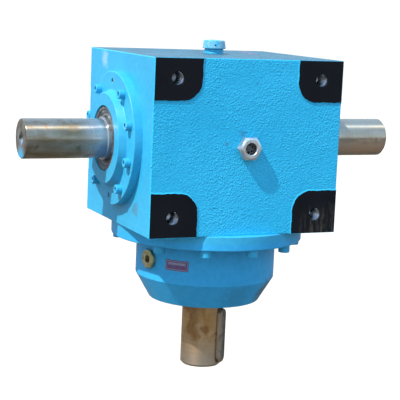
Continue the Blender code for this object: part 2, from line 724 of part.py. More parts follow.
def make_drain_plug(axes):
    axis = axes["drain"]
    seat = SPOT_FACE + GAP
    profile = [(0, seat - 13.7), (DRAIN_STEM, seat - 13.7), (DRAIN_STEM, seat), (13.25, seat),
               (13.25, seat + 4.5), (12.25, seat + 5.5), (0, seat + 5.5)]
    plug = turned("drain_plug", profile, axis, "yellow_zinc", sides=20)
    combine(plug, rod("drain_socket", 10 / math.sqrt(3), seat - 4.7, seat + 6, axis, sides=6))


# ---------------------------------------------------------------- assembly

def make_axes():
    """Empties on the shaft axes and face normals, all carried by the shaft crossing."""
    centre = add_axis("shaft_crossing", location=(0, HALF_DEPTH, 0))
    directions = {"left": (90, 0, -90), "right": (90, 0, 90), "front": (90, 0, 0),
                  "back": (90, 0, 180), "top": (0, 0, 0), "pinion": (180, 0, 0)}
    axes = {"centre": centre}
    for name, rotation in directions.items():
        axes[name] = add_axis(f"{name}_axis", rotation=rotation, parent=centre)
    axes["drain"] = add_axis("drain_axis", (0, 0, DRAIN_DISTANCE), (0, 90, DRAIN_ANGLE),
                             axes["pinion"])
    return axes


def main():
    clear_scene()
    for name in COLOURS:
        make_material(name)
    axes = make_axes()
    make_housing(axes)
    make_cross_shaft(axes)
    make_crown_wheel(axes)
    make_pinion_shaft(axes)
    make_carrier(axes)
    small_screw, large_screw = M8.mesh(), M10.mesh()
    for side in ("left", "right"):
        make_cover(side, axes)
        make_bearing(side, CUP_120, CROSS_CONE_BACK, 1, axes[side])
        place_screws(f"{side}_cover", small_screw, COVER_BOLT_CIRCLE, COVER_SCREW_ANGLES,
                     COVER_FACE + GAP, axes[side])
    make_bearing("pinion_upper", CUP_125, UPPER_CONE_BACK, 1, axes["pinion"])
    make_bearing("pinion_lower", CUP_110, LOWER_CONE_BACK, -1, axes["pinion"])
    place_screws("carrier", large_screw, CARRIER_BOLT_CIRCLE, carrier_screw_angles(),
                 CARRIER_FACE + GAP, axes["pinion"])
    make_sight_glass(axes)
    make_breather(axes)
    make_drain_plug(axes)
    bpy.context.view_layer.update()
    for obj in list(bpy.data.collections[PARTS].objects):
        if obj.type == "MESH" and obj.modifiers:
            bake(obj)


main()
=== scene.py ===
import math

import bmesh
import bpy
from mathutils import Matrix, Vector


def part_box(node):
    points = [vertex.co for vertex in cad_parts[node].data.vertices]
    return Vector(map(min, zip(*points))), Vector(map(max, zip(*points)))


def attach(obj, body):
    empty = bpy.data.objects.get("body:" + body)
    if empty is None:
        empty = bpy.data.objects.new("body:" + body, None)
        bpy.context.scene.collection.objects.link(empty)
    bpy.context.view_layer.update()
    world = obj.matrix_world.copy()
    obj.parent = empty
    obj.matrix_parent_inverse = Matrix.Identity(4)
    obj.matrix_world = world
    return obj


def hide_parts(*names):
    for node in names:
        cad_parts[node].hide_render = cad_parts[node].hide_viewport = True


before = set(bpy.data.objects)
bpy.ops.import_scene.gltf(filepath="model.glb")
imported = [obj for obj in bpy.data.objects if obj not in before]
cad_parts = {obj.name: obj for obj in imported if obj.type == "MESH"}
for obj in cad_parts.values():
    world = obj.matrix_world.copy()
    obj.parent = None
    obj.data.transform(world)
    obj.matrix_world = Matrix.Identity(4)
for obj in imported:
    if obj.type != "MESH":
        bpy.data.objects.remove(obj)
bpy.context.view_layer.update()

MM = 0.001

# ---- sizes


def span(node):
    """Lowest and highest corner of a CAD node, in millimetres."""
    low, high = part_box(node)
    return low / MM, high / MM


SHAFT_LOW, SHAFT_HIGH = span("cross_shaft")
HOUSING_LOW, HOUSING_HIGH = span("housing")
COVER_HIGH = span("right_bearing_cover")[1]
CARRIER_LOW = span("pinion_carrier")[0]
CROSSING = Vector((0, (SHAFT_LOW.y + SHAFT_HIGH.y) / 2, 0))

HALF_WIDTH = HOUSING_HIGH.x
HALF_DEPTH = CROSSING.y  # crossing to the pad faces, which lie at y = 0
HALF_HEIGHT = HOUSING_HIGH.z
FOOT_BOTTOM = -HOUSING_LOW.z
FOOT_RADIUS = HALF_DEPTH - CARRIER_LOW.y
COVER_RADIUS = COVER_HIGH.z
HUB_FACE = COVER_HIGH.x
SHAFT_END = SHAFT_HIGH.x
PINION_END = -span("pinion_shaft")[0].z
CARRIER_END = -CARRIER_LOW.z

PAD_STEP = 1.0
PAD_WALL = 2.2  # width of the sloping wall round a pad
PAD_INSET = 0.4
PAD_INNER_X = 71.0
PAD_INNER_Z = 62.0
PAD_CORNER = 28.0
# shifts of single pads' inner edges, where a number below zero makes the pad taller
PAD_TRIM = {("front", 1, -1): -2.5, ("front", -1, -1): -2.5, ("front", -1, 1): 1.0}
PAD_HOLES = [(x, z) for x in (-107.0, 107.0) for z in (-93.0, 93.0)]
PAD_HOLE_DEPTH = 28.0
FIELD = HALF_DEPTH - PAD_STEP  # crossing to the cast field between the pads
WALL = 18.0
PAD_BACKING = 18.0  # more wall, front and back, behind the pad holes
BOSS_RADIUS = 76.0  # inside the housing, round each cross-shaft bore
BORE_RADIUS = 60.3  # clear of the covers' spigots
LOWER_BORE_RADIUS = 98.3  # clear of the carrier's spigot
PAINTED_JOINT = 0.02  # air left where paint covers a joint
M8 = (3.4, 4.0, 1.25)  # a tapped hole's minor and major radius, and pitch
M10 = (4.2, 5.0, 1.5)
M20 = (8.6, 9.9, 2.5)
JACKING_DEPTH = 14.0

COVER_FACE = 152.0
COVER_BOLT_CIRCLE = 80.0
COVER_SCREW_ANGLES = (-162, -126, -54, -18, 18, 54, 126, 162)
CARRIER_FACE = 140.0
CARRIER_BOLT_CIRCLE = 127.0
CARRIER_ANGLES = [-6 + 30 * number for number in range(12)]
CARRIER_JACKING_ANGLES = (-6, 174)
CARRIER_BODY_RADIUS = 100.5
CARRIER_TAPER_START = 197.0
DRAIN_DISTANCE = 168.0
DRAIN_ANGLE = 165.0
SPOT_FACE = 99.4
DRAIN_SOCKET = 10.0  # across flats
SIGHT_ACROSS = 30.0
VENT_HEIGHT = 132.4  # hole in the breather's cap
VENT_ANGLE = -107.0
FITTING_DEPTH = 13.7  # stems of the sight glass and the breather
WELD = 0.002  # corners closer than this become one
ARC_STEPS = 4  # straight pieces of a rounded corner
SHARP_ANGLE = 35.0
MOUTH_SHARE = 0.5  # chamfer of a tapped hole, by its thread depth
SHAFT_RADIUS = 27.5
JOURNAL_RADIUS = 30.0
JOURNAL_END = 165.0
PINION_RADIUS = 30.0
PINION_KEY_ANGLE = 50.0
END_KEY = (180, 270, 16, 22.0, 31.8)  # start, end, width, bottom, top
WHEEL_KEYWAY = (48, 92, 20, 28.0, 39.6)
PINION_KEY = (247.5, 327.5, 18, 23.5, 34.4)
PINION_KEYWAY = (243.5, 327.7, 18, 23.5, 34.4)
KEYWAY_PLAY = 0.3


# ---- places

def axis(x, y, z, origin=CROSSING):
    """Matrix of an axis whose +Z runs outwards along a shaft, a hole or a face normal."""
    turn = Matrix((x, y, z)).transposed().to_4x4()
    return Matrix.Translation(Vector(origin) * MM) @ turn


AXES = {
    "left": axis((0, -1, 0), (0, 0, 1), (-1, 0, 0)),
    "right": axis((0, 1, 0), (0, 0, 1), (1, 0, 0)),
    "front": axis((1, 0, 0), (0, 0, 1), (0, -1, 0)),
    "back": axis((-1, 0, 0), (0, 0, 1), (0, 1, 0)),
    "top": axis((1, 0, 0), (0, 1, 0), (0, 0, 1)),
    "pinion": axis((1, 0, 0), (0, -1, 0), (0, 0, -1)),
}
AXES["drain"] = (AXES["pinion"] @ Matrix.Translation((0, 0, DRAIN_DISTANCE * MM))
                 @ Matrix.Rotation(math.radians(DRAIN_ANGLE), 4, "Z")
                 @ Matrix.Rotation(math.radians(90), 4, "Y"))


def at(place, x=0.0, y=0.0, z=0.0, turn=0.0):
    """A place moved along its own axes, in millimetres, and turned about its own Z."""
    matrix = AXES[place] if isinstance(place, str) else place
    return matrix @ Matrix.Translation(Vector((x, y, z)) * MM) @ Matrix.Rotation(
        math.radians(turn), 4, "Z")


def polar(radius, degrees):
    angle = math.radians(degrees)
    return radius * math.cos(angle), radius * math.sin(angle)


# ---- materials

def feed(socket, value):
    """Link an input socket to an output socket, or give it a constant."""
    if isinstance(value, bpy.types.NodeSocket):
        socket.id_data.links.new(value, socket)
    else:
        socket.default_value = value


def node(tree, kind, inputs=None, **settings):
    """A shader node; an input is a number, a colour or another node's output socket."""
    made = tree.nodes.new("ShaderNode" + kind)
    for name, value in settings.items():
        setattr(made, name, value)
    for name, value in (inputs or {}).items():
        feed(made.inputs[name], value)
    return made


def colour4(colour):
    return (*colour, 1.0)


def new_material(name, **constants):
    """A Principled material and its tree; constants go by socket, such as Metallic."""
    material = bpy.data.materials.new(name)
    material.use_nodes = True
    shader = material.node_tree.nodes["Principled BSDF"]
    for socket, value in constants.items():
        shader.inputs[socket.replace("_", " ")].default_value = value
    return material, material.node_tree


def dress(material, colour, **links):
    """Link what varies over a surface, colour and others by socket, and return the material."""
    tree = material.node_tree
    shader = tree.nodes["Principled BSDF"]
    tree.links.new(colour, shader.inputs["Base Color"])
    for socket, output in links.items():
        tree.links.new(output, shader.inputs[socket])
    return material


def position(tree, scale=(1, 1, 1)):
    """Places on the object in metres, stretched by scale."""
    coords = node(tree, "TexCoord").outputs["Object"]
    return node(tree, "Mapping", {"Vector": coords, "Scale": scale}).outputs["Vector"]


def noise(vector, scale, detail=3.0, roughness=0.5, distortion=0.0):
    return node(vector.id_data, "TexNoise", {"Vector": vector, "Scale": scale, "Detail": detail,
                                             "Roughness": roughness,
                                             "Distortion": distortion}).outputs["Fac"]


def ramp(factor, stops):
    """A colour ramp from (position, colour) stops."""
    made = node(factor.id_data, "ValToRGB", {"Fac": factor})
    elements = made.color_ramp.elements
    while len(elements) < len(stops):
        elements.new(0.5)
    for element, (place, colour) in zip(elements, stops):
        element.position = place
        element.color = colour4(colour)
    return made.outputs["Color"]


def grade(factor, low, high, start=0.0, end=1.0):
    """A number from low to high as factor goes from start to end."""
    inputs = {"Value": factor, "From Min": start, "From Max": end, "To Min": low, "To Max": high}
    return node(factor.id_data, "MapRange", inputs).outputs["Result"]


def mix(factor, first, second):
    """A blend of two colours; the factor is always another node's output."""
    colours = [colour4(value) if isinstance(value, tuple) else value for value in (first, second)]
    inputs = {0: factor, 6: colours[0], 7: colours[1]}
    return node(factor.id_data, "Mix", inputs, data_type="RGBA").outputs[2]


def maths(operation, first, second=0.0):
    """A calculation with one or two numbers, at least one of them a node's output."""
    socket = first if isinstance(first, bpy.types.NodeSocket) else second
    return node(socket.id_data, "Math", {0: first, 1: second}, operation=operation).outputs[0]


def times(first, second):
    return maths("MULTIPLY", first, second)


def plus(first, second):
    return maths("ADD", first, second)


def less(first, second):
    return maths("SUBTRACT", first, second)


def component(vector, index):
    """One of the three numbers of a place or direction."""
    return node(vector.id_data, "SeparateXYZ", {0: vector}).outputs[index]


def bump(height, distance):
    """A normal from a height; distance is the height's full depth in millimetres."""
    inputs = {"Height": height, "Distance": distance * MM, "Strength": 1.0}
    return node(height.id_data, "Bump", inputs).outputs["Normal"]


def spot(centre, radius, wobble):
    """1 in the middle of a soft round spot on the surface and 0 outside it."""
    tree = wobble.id_data
    coords = node(tree, "TexCoord").outputs["Object"]
    offset = node(tree, "VectorMath", {0: coords, 1: Vector(centre) * MM}, operation="DISTANCE")
    ragged = plus(offset.outputs["Value"], times(wobble, radius * MM))
    return grade(ragged, 1.0, 0.0, radius * MM * 0.7, radius * MM * 1.7)


def fray(here, scale, width):
    """Noise about zero that makes the edge of a spot ragged."""
    return less(times(noise(here, scale, 5.0, 0.7), width), width / 2)


def stain(colour, spots, wobble):
    """A colour under its spots, each (centre, radius, amount, tint), and how far they cover it."""
    covered = 0.0
    for centre, radius, amount, tint in spots:
        mask = times(spot(centre, radius, wobble), amount)
        colour = mix(mask, colour, tint)
        covered = plus(mask, covered)
    return colour, covered


# One blue paint in lit and shaded copies: the rough copy is painted lighter, standing for more light on
# the front face, and the smooth copy darker for the sunlit sides.
ROUGH_LIGHTENED_TONES = ((0.012, 0.47, 0.77), (0.026, 0.545, 0.87))
FLANK_BLUE = (0.01, 0.15, 0.26)
SMOOTH_DARKENED_TONES = ((0.028, 0.37, 0.62), (0.038, 0.43, 0.69))
# The carrier's copy of the smooth paint is painted bluer, standing for the sky light in its shade.
CARRIER_SHADE_TONES = ((0.024, 0.37, 0.70), (0.032, 0.43, 0.79))
PAINT_SHADE = (0.009, 0.31, 0.58)
PAINT_DUST = (0.5, 0.62, 0.68)
PAINT_WEAR = (0.27, 0.42, 0.45)
TOP_GRIME_AND_SHADE = (0.05, 0.12, 0.155)
GRIME = (0.11, 0.12, 0.115)
SCUFF = (0.10, 0.085, 0.065)
STEEL_SPECKS = (0.05, 0.03, 0.018)
STEEL_MARKS = (0.05, 0.045, 0.04)
STEEL_METALLIC = 0.9
ANISOTROPIC_TURN = 0.25


def make_paint(name, peel, peel_scale, gloss, tones, spots=(), wear=0.0, top_grime_and_shade=0.0, drops=0.0):
    """Blue enamel; peel is the depth of its orange peel, tones its darkest and lightest blue.

    drops is the height of the few round beads in the paint, as a share of peel.
    """
    material, tree = new_material(name, Specular_IOR_Level=0.34)
    here = position(tree)
    broad = noise(here, 7.0, 5.0, 0.6)
    fine = noise(here, peel_scale, 1.6, 0.45)
    lumps = noise(here, peel_scale * 0.36, 2.0, 0.5)
    cells = node(tree, "TexVoronoi", {"Vector": here, "Scale": peel_scale, "Smoothness": 0.7},
                 feature="SMOOTH_F1").outputs["Distance"]
    dust = noise(here, 900.0, 2.0)
    colour = ramp(broad, [(0.32, tones[0]), (0.68, tones[1])])
    colour = mix(grade(fine, 0.0, 0.3, 0.6, 0.35), colour, PAINT_SHADE)
    colour = mix(grade(dust, 0.0, 0.06, 0.45, 0.75), colour, PAINT_DUST)
    rough = grade(broad, gloss - 0.05, gloss + 0.1, 0.3, 0.7)
    # Upward faces darken: partly grime, partly painted shade standing for the rough top's self-shadowing
    # under the sun.
    if top_grime_and_shade:
        upward = component(node(tree, "NewGeometry").outputs["Normal"], 2)
        patchy = grade(noise(here, 60.0, 6.0, 0.75), 0.8, 1.0, 0.35, 0.6)
        grime_and_shade = times(grade(upward, 0.0, top_grime_and_shade, 0.75, 0.98), patchy)
        colour = mix(grime_and_shade, colour, TOP_GRIME_AND_SHADE)
        rough = plus(rough, times(grime_and_shade, 0.25))
    if wear:
        worn = noise(here, 160.0, 6.0, 0.75)
        colour = mix(grade(worn, 0.0, wear, 0.42, 0.62), colour, PAINT_WEAR)
    colour, _ = stain(colour, spots, fray(here, 140.0, 3.0))
    pebbles = grade(cells, 0.7, 0.0, 0.1, 0.7)
    height = plus(times(fine, 0.5), times(lumps, 0.35))
    height = times(plus(height, pebbles),
                   grade(noise(here, 16.0, 2.0), 0.45, 1.15, 0.38, 0.62))
    if drops:
        beads = node(tree, "TexVoronoi", {"Vector": here, "Scale": 125.0}).outputs["Distance"]
        height = plus(height, grade(beads, drops, 0.0, 0.0, 0.21))
    return dress(material, colour, Roughness=rough, Normal=bump(height, peel))


def make_black_paint():
    """Thin black masking paint, scuffed on the lower right front pad."""
    material, tree = new_material("black_pad_paint", Specular_IOR_Level=0.16)
    here = position(tree)
    fine = noise(here, 420.0, 4.0, 0.6)
    broad = noise(here, 16.0, 5.0, 0.65)
    colour = ramp(broad, [(0.35, (0.0022, 0.0034, 0.006)), (0.7, (0.0048, 0.006, 0.009))])
    streaks = noise(position(tree, (180, 180, 28)), 1.0, 6.0, 0.8)
    low_right = spot((118, 0, -118), 26, less(broad, 0.5))
    scuffed = times(grade(streaks, 0.0, 0.8, 0.48, 0.66), low_right)
    return dress(material, mix(scuffed, colour, SCUFF),
                 Roughness=grade(broad, 0.42, 0.62, 0.3, 0.7), Normal=bump(fine, 0.12))


def stretched(index, along, across):
    """A scale for marks that differ along one axis and across it."""
    return [along if axis_index == index else across for axis_index in range(3)]


def make_turned_steel(name, along, clean, film, rust, film_share, rust_share, roughness, grooves,
                      seat=None, spots=()):
    """Turned steel under oil film and flash rust; along is the index of the shaft's axis.

    grooves is how far the turning marks spread a highlight along the shaft.  seat is a
    cleaner stretch: where it is full, where it ends, its tone and how polished it is.
    """
    material, tree = new_material(name, Metallic=STEEL_METALLIC, Specular_IOR_Level=0.2,
                                  Anisotropic=grooves, Anisotropic_Rotation=ANISOTROPIC_TURN)
    here = position(tree)
    marks = noise(position(tree, stretched(along, 1500.0, 9.0)), 1.0, 3.0, 0.6)
    streaks = noise(position(tree, stretched(along, 13.0, 46.0)), 1.0, 6.0, 0.62, 0.6)
    blotches = noise(here, 34.0, 5.0, 0.6, 0.4)
    specks = noise(here, 330.0, 4.0, 0.7)
    colour = mix(grade(streaks, 0.0, 1.0, film_share - 0.12, film_share + 0.12), clean, film)
    rusty = grade(blotches, 0.0, 0.85, rust_share, rust_share + 0.14)
    if seat:
        full, end, tone, polish = seat
        distance = maths("ABSOLUTE", component(here, along))
        ground = grade(distance, 0.9, 0.0, full * MM, end * MM)
        colour = mix(ground, colour, tone)
        rusty = times(rusty, less(1.0, ground))
    rough = plus(grade(streaks, roughness, roughness + 0.08, 0.35, 0.65),
                 times(rusty, 0.2))
    if seat:
        rough = less(rough, times(ground, roughness * polish))
    colour = mix(rusty, colour, rust)
    colour = mix(grade(specks, 0.0, 0.5, 0.64, 0.78), colour, STEEL_SPECKS)
    colour = mix(grade(marks, 0.0, 0.25, 0.4, 0.7), colour, STEEL_MARKS)
    colour, covered = stain(colour, spots, fray(here, 110.0, 2.6))
    tangent = node(tree, "Tangent", direction_type="RADIAL", axis="XYZ"[along])
    links = {"Roughness": rough, "Normal": bump(specks, 0.03),
             "Tangent": tangent.outputs["Tangent"]}
    if spots:
        links["Metallic"] = less(STEEL_METALLIC, covered)
    return dress(material, colour, **links)


def make_end_steel():
    """The sawn and faced ends of the cross shaft, with a lick of paint low on the left end."""
    material, tree = new_material("shaft_end_steel")
    here = position(tree)
    broad = noise(here, 70.0, 6.0, 0.65)
    colour = ramp(broad, [(0.36, (0.15, 0.115, 0.09)), (0.52, (0.26, 0.23, 0.20)),
                          (0.66, (0.34, 0.33, 0.30))])
    wobble = fray(here, 140.0, 1.0)
    paint = times(spot(END_PAINT, 13.0, wobble), 0.95)
    rust = times(spot(END_RUST, 6.0, wobble), 0.35)
    colour = mix(paint, mix(rust, colour, (0.35, 0.20, 0.16)), SMOOTH_DARKENED_TONES[0])
    return dress(material, colour, Metallic=less(0.85, times(paint, 0.85)),
                 Roughness=grade(broad, 0.38, 0.55, 0.35, 0.65),
                 Normal=bump(noise(here, 900.0), 0.05))


def make_metal(name, first, second, roughness, scale=60.0, grain=0.03, metallic=1.0):
    """A plain metal whose tone, gloss and surface vary."""
    material, tree = new_material(name, Metallic=metallic)
    here = position(tree)
    broad = noise(here, scale, 5.0, 0.6)
    fine = noise(here, scale * 14, 3.0, 0.6)
    return dress(material, ramp(broad, [(0.35, first), (0.65, second)]),
                 Roughness=grade(broad, roughness - 0.05, roughness + 0.12, 0.35, 0.65),
                 Normal=bump(fine, grain))


def make_plated_body():
    """Bright zinc whose flanks, more so towards the top, turn a non-metallic blue."""
    material, tree = new_material("zinc_with_blue_flanks")
    here = position(tree)
    broad = noise(here, 130.0, 5.0, 0.6)
    zinc = ramp(broad, [(0.35, ZINC_TONES[0]), (0.65, ZINC_TONES[1])])
    normal = node(tree, "NewGeometry").outputs["Normal"]
    outward = maths("ABSOLUTE", component(normal, 1))
    high = grade(component(here, 2), 0.15, 0.85, -0.004, 0.006)
    blue_flanks = times(grade(outward, 1.0, 0.0, 0.6, 0.9), high)
    return dress(material, mix(blue_flanks, zinc, FLANK_BLUE), Metallic=less(1.0, blue_flanks),
                 Roughness=grade(broad, 0.24, 0.42, 0.35, 0.65),
                 Normal=bump(noise(here, 1800.0), 0.04))


def make_rubber():
    """Black seal rubber, dusty and oily."""
    material, tree = new_material("seal_rubber", Specular_IOR_Level=0.4)
    here = position(tree)
    dust = noise(here, 90.0, 6.0, 0.7)
    fine = noise(here, 700.0, 3.0)
    colour = ramp(dust, [(0.36, (0.035, 0.038, 0.042)), (0.54, (0.115, 0.12, 0.125)),
                         (0.68, (0.26, 0.275, 0.285))])
    return dress(material, colour, Roughness=grade(dust, 0.32, 0.7, 0.35, 0.65),
                 Normal=bump(fine, 0.08))


def make_glass():
    """A clear window: mostly see-through, with a faint oily haze and a gloss."""
    material, tree = new_material("sight_glass_window", Specular_IOR_Level=0.5, Alpha=0.3)
    haze = noise(position(tree), 500.0, 4.0)
    return dress(material, ramp(haze, [(0.3, (0.02, 0.025, 0.03)), (0.7, (0.06, 0.07, 0.07))]),
                 Roughness=grade(haze, 0.05, 0.15, 0.3, 0.7))


def make_label(name, ink, paper, amount):
    """Printed plastic film, faded and scratched."""
    material, tree = new_material(name, Specular_IOR_Level=0.5)
    faded = noise(position(tree), 320.0, 5.0, 0.7)
    return dress(material, mix(grade(faded, 0.0, amount, 0.4, 0.7), ink, paper),
                 Roughness=grade(faded, 0.3, 0.5, 0.3, 0.7), Normal=bump(faded, 0.05))


def make_stage_cloth(name, roughness, scale, detail, first, second):
    """A dull material for the stage, whose tone varies slightly."""
    material, tree = new_material(name, Roughness=roughness)
    tone = noise(position(tree), scale, detail)
    return dress(material, ramp(tone, [(0.3, first), (0.7, second)]))


ZINC_TONES = ((0.60, 0.66, 0.68), (0.78, 0.82, 0.84))
BROWN = (0.10, 0.075, 0.05)
WHITE_SCUFF = (0.55, 0.66, 0.70)
ROUGH_SPOTS = (
    ((-32, PAD_STEP, 6), 1.5, 0.55, GRIME),
    ((-9, PAD_STEP, 19.5), 4.0, 0.42, (0.04, 0.17, 0.30)),
    ((9, PAD_STEP, 88), 2.5, 0.25, (0.02, 0.15, 0.32)),
)
SMOOTH_STAINS_AND_SHADE = (
    ((-HALF_WIDTH, 54, -89), 7.5, 0.38, BROWN),
    ((-HALF_WIDTH, 193, 107), 9.0, 0.4, WHITE_SCUFF),
    ((10, 127 - 88, -214), 16.0, 0.22, (0.02, 0.08, 0.16)),
    # Painted shade on the right of the carrier's taper, standing for a dimmer reflection of the sky there.
    ((66, 66, -212), 17.0, 0.75, (0.05, 0.10, 0.13)),
)
SHAFT_SPOTS = (
    ((-214, CROSSING.y - 22, 17), 5.0, 0.4, (0.30, 0.17, 0.07)),
    ((-168, CROSSING.y - 21, -17), 13.0, 0.75, (0.02, 0.17, 0.36)),
    ((-166, CROSSING.y - 27, 3), 8.0, 0.4, (0.01, 0.22, 0.34)),
)
# Brown spots along the lower half of the right shaft: partly rust, partly a painted reflection of the
# brown ground below the horizon.
RIGHT_RUST_AND_REFLECTION = [((x, CROSSING.y - 24, -15), 11.0, 0.5, (0.48, 0.26, 0.13)) for x in range(165, 285, 12)]
# Painted shade: a column of dark spots down the right edge of the pinion key.
KEY_SIDE_SHADE = [((26.5, 104, z), 8.5, 0.6, (0.02, 0.028, 0.028)) for z in range(-328, -240, 12)]
PINION_SPOTS = [((-24.6, 110, -246), 9.0, 0.6, (0.26, 0.10, 0.02)),
                ((-22, 107, -262), 7.0, 0.6, (0.26, 0.10, 0.02)),
                ((-25, 110, -279), 9.0, 0.7, (0.22, 0.075, 0.012)),
                ((-8, 98, -276), 5.0, 0.7, (0.22, 0.075, 0.012))]
LEFT_SEAT = (172, 205, (0.62, 0.64, 0.65), 0.6)
RIGHT_SEAT = (172, 215, (0.50, 0.50, 0.46), 0.0)
PINION_CLEAN = (345, 285, (0.50, 0.46, 0.40), 0.0)
END_PAINT = (-SHAFT_END, CROSSING.y, -29)
END_RUST = (-SHAFT_END, CROSSING.y, -4)
MATERIALS = {
    "rough_paint": make_paint("rough_cast_blue_paint", 0.5, 400.0, 0.27, ROUGH_LIGHTENED_TONES, ROUGH_SPOTS,
                             top_grime_and_shade=1.0, drops=1.5),
    "smooth_paint": make_paint("smooth_blue_paint", 0.16, 130.0, 0.34, SMOOTH_DARKENED_TONES, SMOOTH_STAINS_AND_SHADE),
    "carrier_paint": make_paint("carrier_blue_paint", 0.16, 130.0, 0.34, CARRIER_SHADE_TONES, SMOOTH_STAINS_AND_SHADE),
    "fastener_paint": make_paint("fastener_blue_paint", 0.14, 260.0, 0.32, SMOOTH_DARKENED_TONES),
    "worn_paint": make_paint("worn_blue_paint", 0.16, 260.0, 0.34, SMOOTH_DARKENED_TONES, wear=1.0),
    "black_paint": make_black_paint(),
    # Oily steel inside holes and bores; its dark tone is partly painted shade for their depths.
    "thread_steel": make_metal("tapped_thread_steel", (0.10, 0.115, 0.13), (0.46, 0.50, 0.55), 0.24, 120),
    "cross_steel": make_turned_steel(
        "cross_shaft_steel", 0, (0.43, 0.40, 0.34), (0.26, 0.21, 0.13), (0.20, 0.10, 0.035),
        0.49, 0.54, 0.31, 0.94, LEFT_SEAT, SHAFT_SPOTS),
    "bright_steel": make_turned_steel(
        "bright_shaft_steel", 0, (0.50, 0.48, 0.40), (0.42, 0.38, 0.30), (0.30, 0.19, 0.11),
        0.52, 0.66, 0.27, 0.97, RIGHT_SEAT, RIGHT_RUST_AND_REFLECTION),
    "pinion_steel": make_turned_steel(
        "pinion_shaft_steel", 2, (0.62, 0.42, 0.22), (0.48, 0.25, 0.08), (0.34, 0.13, 0.03),
        0.54, 0.53, 0.35, 0.6, PINION_CLEAN, PINION_SPOTS),
    "end_steel": make_end_steel(),
    "key_steel": make_turned_steel(
        "key_steel", 2, (0.48, 0.38, 0.27), (0.30, 0.235, 0.16), (0.20, 0.12, 0.06),
        0.5, 0.60, 0.34, 0.6, spots=KEY_SIDE_SHADE),
    "gear_steel": make_metal("gear_steel", (0.24, 0.24, 0.25), (0.42, 0.42, 0.43), 0.30),
    "bearing_steel": make_metal("bearing_steel", (0.52, 0.52, 0.54), (0.64, 0.64, 0.66), 0.18),
    "rubber": make_rubber(),
    "zinc": make_metal("bright_zinc", *ZINC_TONES, 0.30, 130, 0.04),
    "yellow_zinc": make_metal("yellow_zinc", (0.32, 0.30, 0.15), (0.60, 0.55, 0.34), 0.36, 150, 0.05),
    "reflector": make_metal("sight_reflector", (0.30, 0.33, 0.35), (0.50, 0.52, 0.53), 0.35, 200,
                            metallic=0.2),
    "zinc_body": make_plated_body(),
    "glass": make_glass(),
    "label": make_label("label_film", (0.17, 0.04, 0.10), (0.10, 0.16, 0.34), 0.8),
    "label_ink": make_label("label_pale_print", (0.30, 0.30, 0.42), (0.20, 0.11, 0.20), 0.6),
}


# ---- mesh tools

def rounded(corners, closed=True):
    """Outline points; a corner with a third number becomes an arc of that radius."""
    points = []
    for i, corner in enumerate(corners):
        here = Vector(corner[:2])
        ends = not closed and i in (0, len(corners) - 1)
        if len(corner) < 3 or ends:
            points.append(here)
            continue
        before = Vector(corners[i - 1][:2]) - here
        after = Vector(corners[(i + 1) % len(corners)][:2]) - here
        half = before.angle(after) / 2
        reach = min(corner[2] / math.tan(half), before.length * 0.49, after.length * 0.49)
        middle = (before.normalized() + after.normalized()).normalized()
        centre = here + middle * (reach / math.cos(half))
        first = here + before.normalized() * reach - centre
        last = here + after.normalized() * reach - centre
        start = math.atan2(first.y, first.x)
        sweep = (math.atan2(last.y, last.x) - start + math.pi) % (2 * math.pi) - math.pi
        for step in range(ARC_STEPS + 1):
            x, y = polar(first.length, math.degrees(start + sweep * step / ARC_STEPS))
            points.append(centre + Vector((x, y)))
    return [(point.x, point.y) for point in points]


def new_object(name, data):
    """An object in the scene, from a mesh, a camera or a light."""
    obj = bpy.data.objects.new(name, data)
    bpy.context.scene.collection.objects.link(obj)
    return obj


def finish_mesh(name, shape, place, material):
    """An object in the shared frame from a shape drawn in millimetres at a place."""
    bmesh.ops.remove_doubles(shape, verts=shape.verts, dist=0.0005)
    bmesh.ops.recalc_face_normals(shape, faces=shape.faces)
    mesh = bpy.data.meshes.new(name)
    shape.to_mesh(mesh)
    shape.free()
    mesh.transform(at(place) @ Matrix.Scale(MM, 4))
    mesh.materials.append(MATERIALS[material])
    return new_object(name, mesh)


def lathe(name, corners, place, material, sides=96):
    """A solid of revolution; an open profile starts and ends at radius 0, others close."""
    closed = corners[0][0] > 0
    profile = rounded(corners, closed)
    shape = bmesh.new()
    rings = []
    for radius, z in profile:
        if radius < 1e-6:
            rings.append([shape.verts.new((0, 0, z))])
        else:
            rings.append([shape.verts.new((*polar(radius, 360 * k / sides), z)) for k in range(sides)])
    pairs = list(zip(rings, rings[1:]))
    if closed:
        pairs.append((rings[-1], rings[0]))
    for one, two in pairs:
        for k in range(sides):
            following = (k + 1) % sides
            four = [one[k % len(one)], one[following % len(one)], two[following % len(two)],
                    two[k % len(two)]]
            face = list(dict.fromkeys(four))
            if len(face) > 2:
                shape.faces.new(face)
    return finish_mesh(name, shape, place, material)


def stack(name, loops, place, material, cap_material=None):
    """Join outlines of equally many points, each (outline, height), and cap both ends."""
    shape = bmesh.new()
    rows = [[shape.verts.new((x, y, z)) for x, y in outline] for outline, z in loops]
    for one, two in zip(rows, rows[1:]):
        for k in range(len(one)):
            j = (k + 1) % len(one)
            shape.faces.new((one[k], one[j], two[j], two[k]))
    shape.faces.new(rows[0])
    cap = shape.faces.new(rows[-1])
    if cap_material:
        cap.material_index = 1
    obj = finish_mesh(name, shape, place, material)
    if cap_material:
        obj.data.materials.append(MATERIALS[cap_material])
    return obj


def block(name, low, high, place, material, bevel=0.0):
    """A box between two corners with rounded edges."""
    low, high = Vector(low), Vector(high)
    shape = bmesh.new()
    size = Matrix.Diagonal((*(high - low), 1))
    bmesh.ops.create_cube(shape, size=1, matrix=Matrix.Translation((low + high) / 2) @ size)
    if bevel:
        bmesh.ops.bevel(shape, geom=shape.edges[:], offset=bevel, segments=4, profile=0.5,
                        affect="EDGES")
    return finish_mesh(name, shape, place, material)


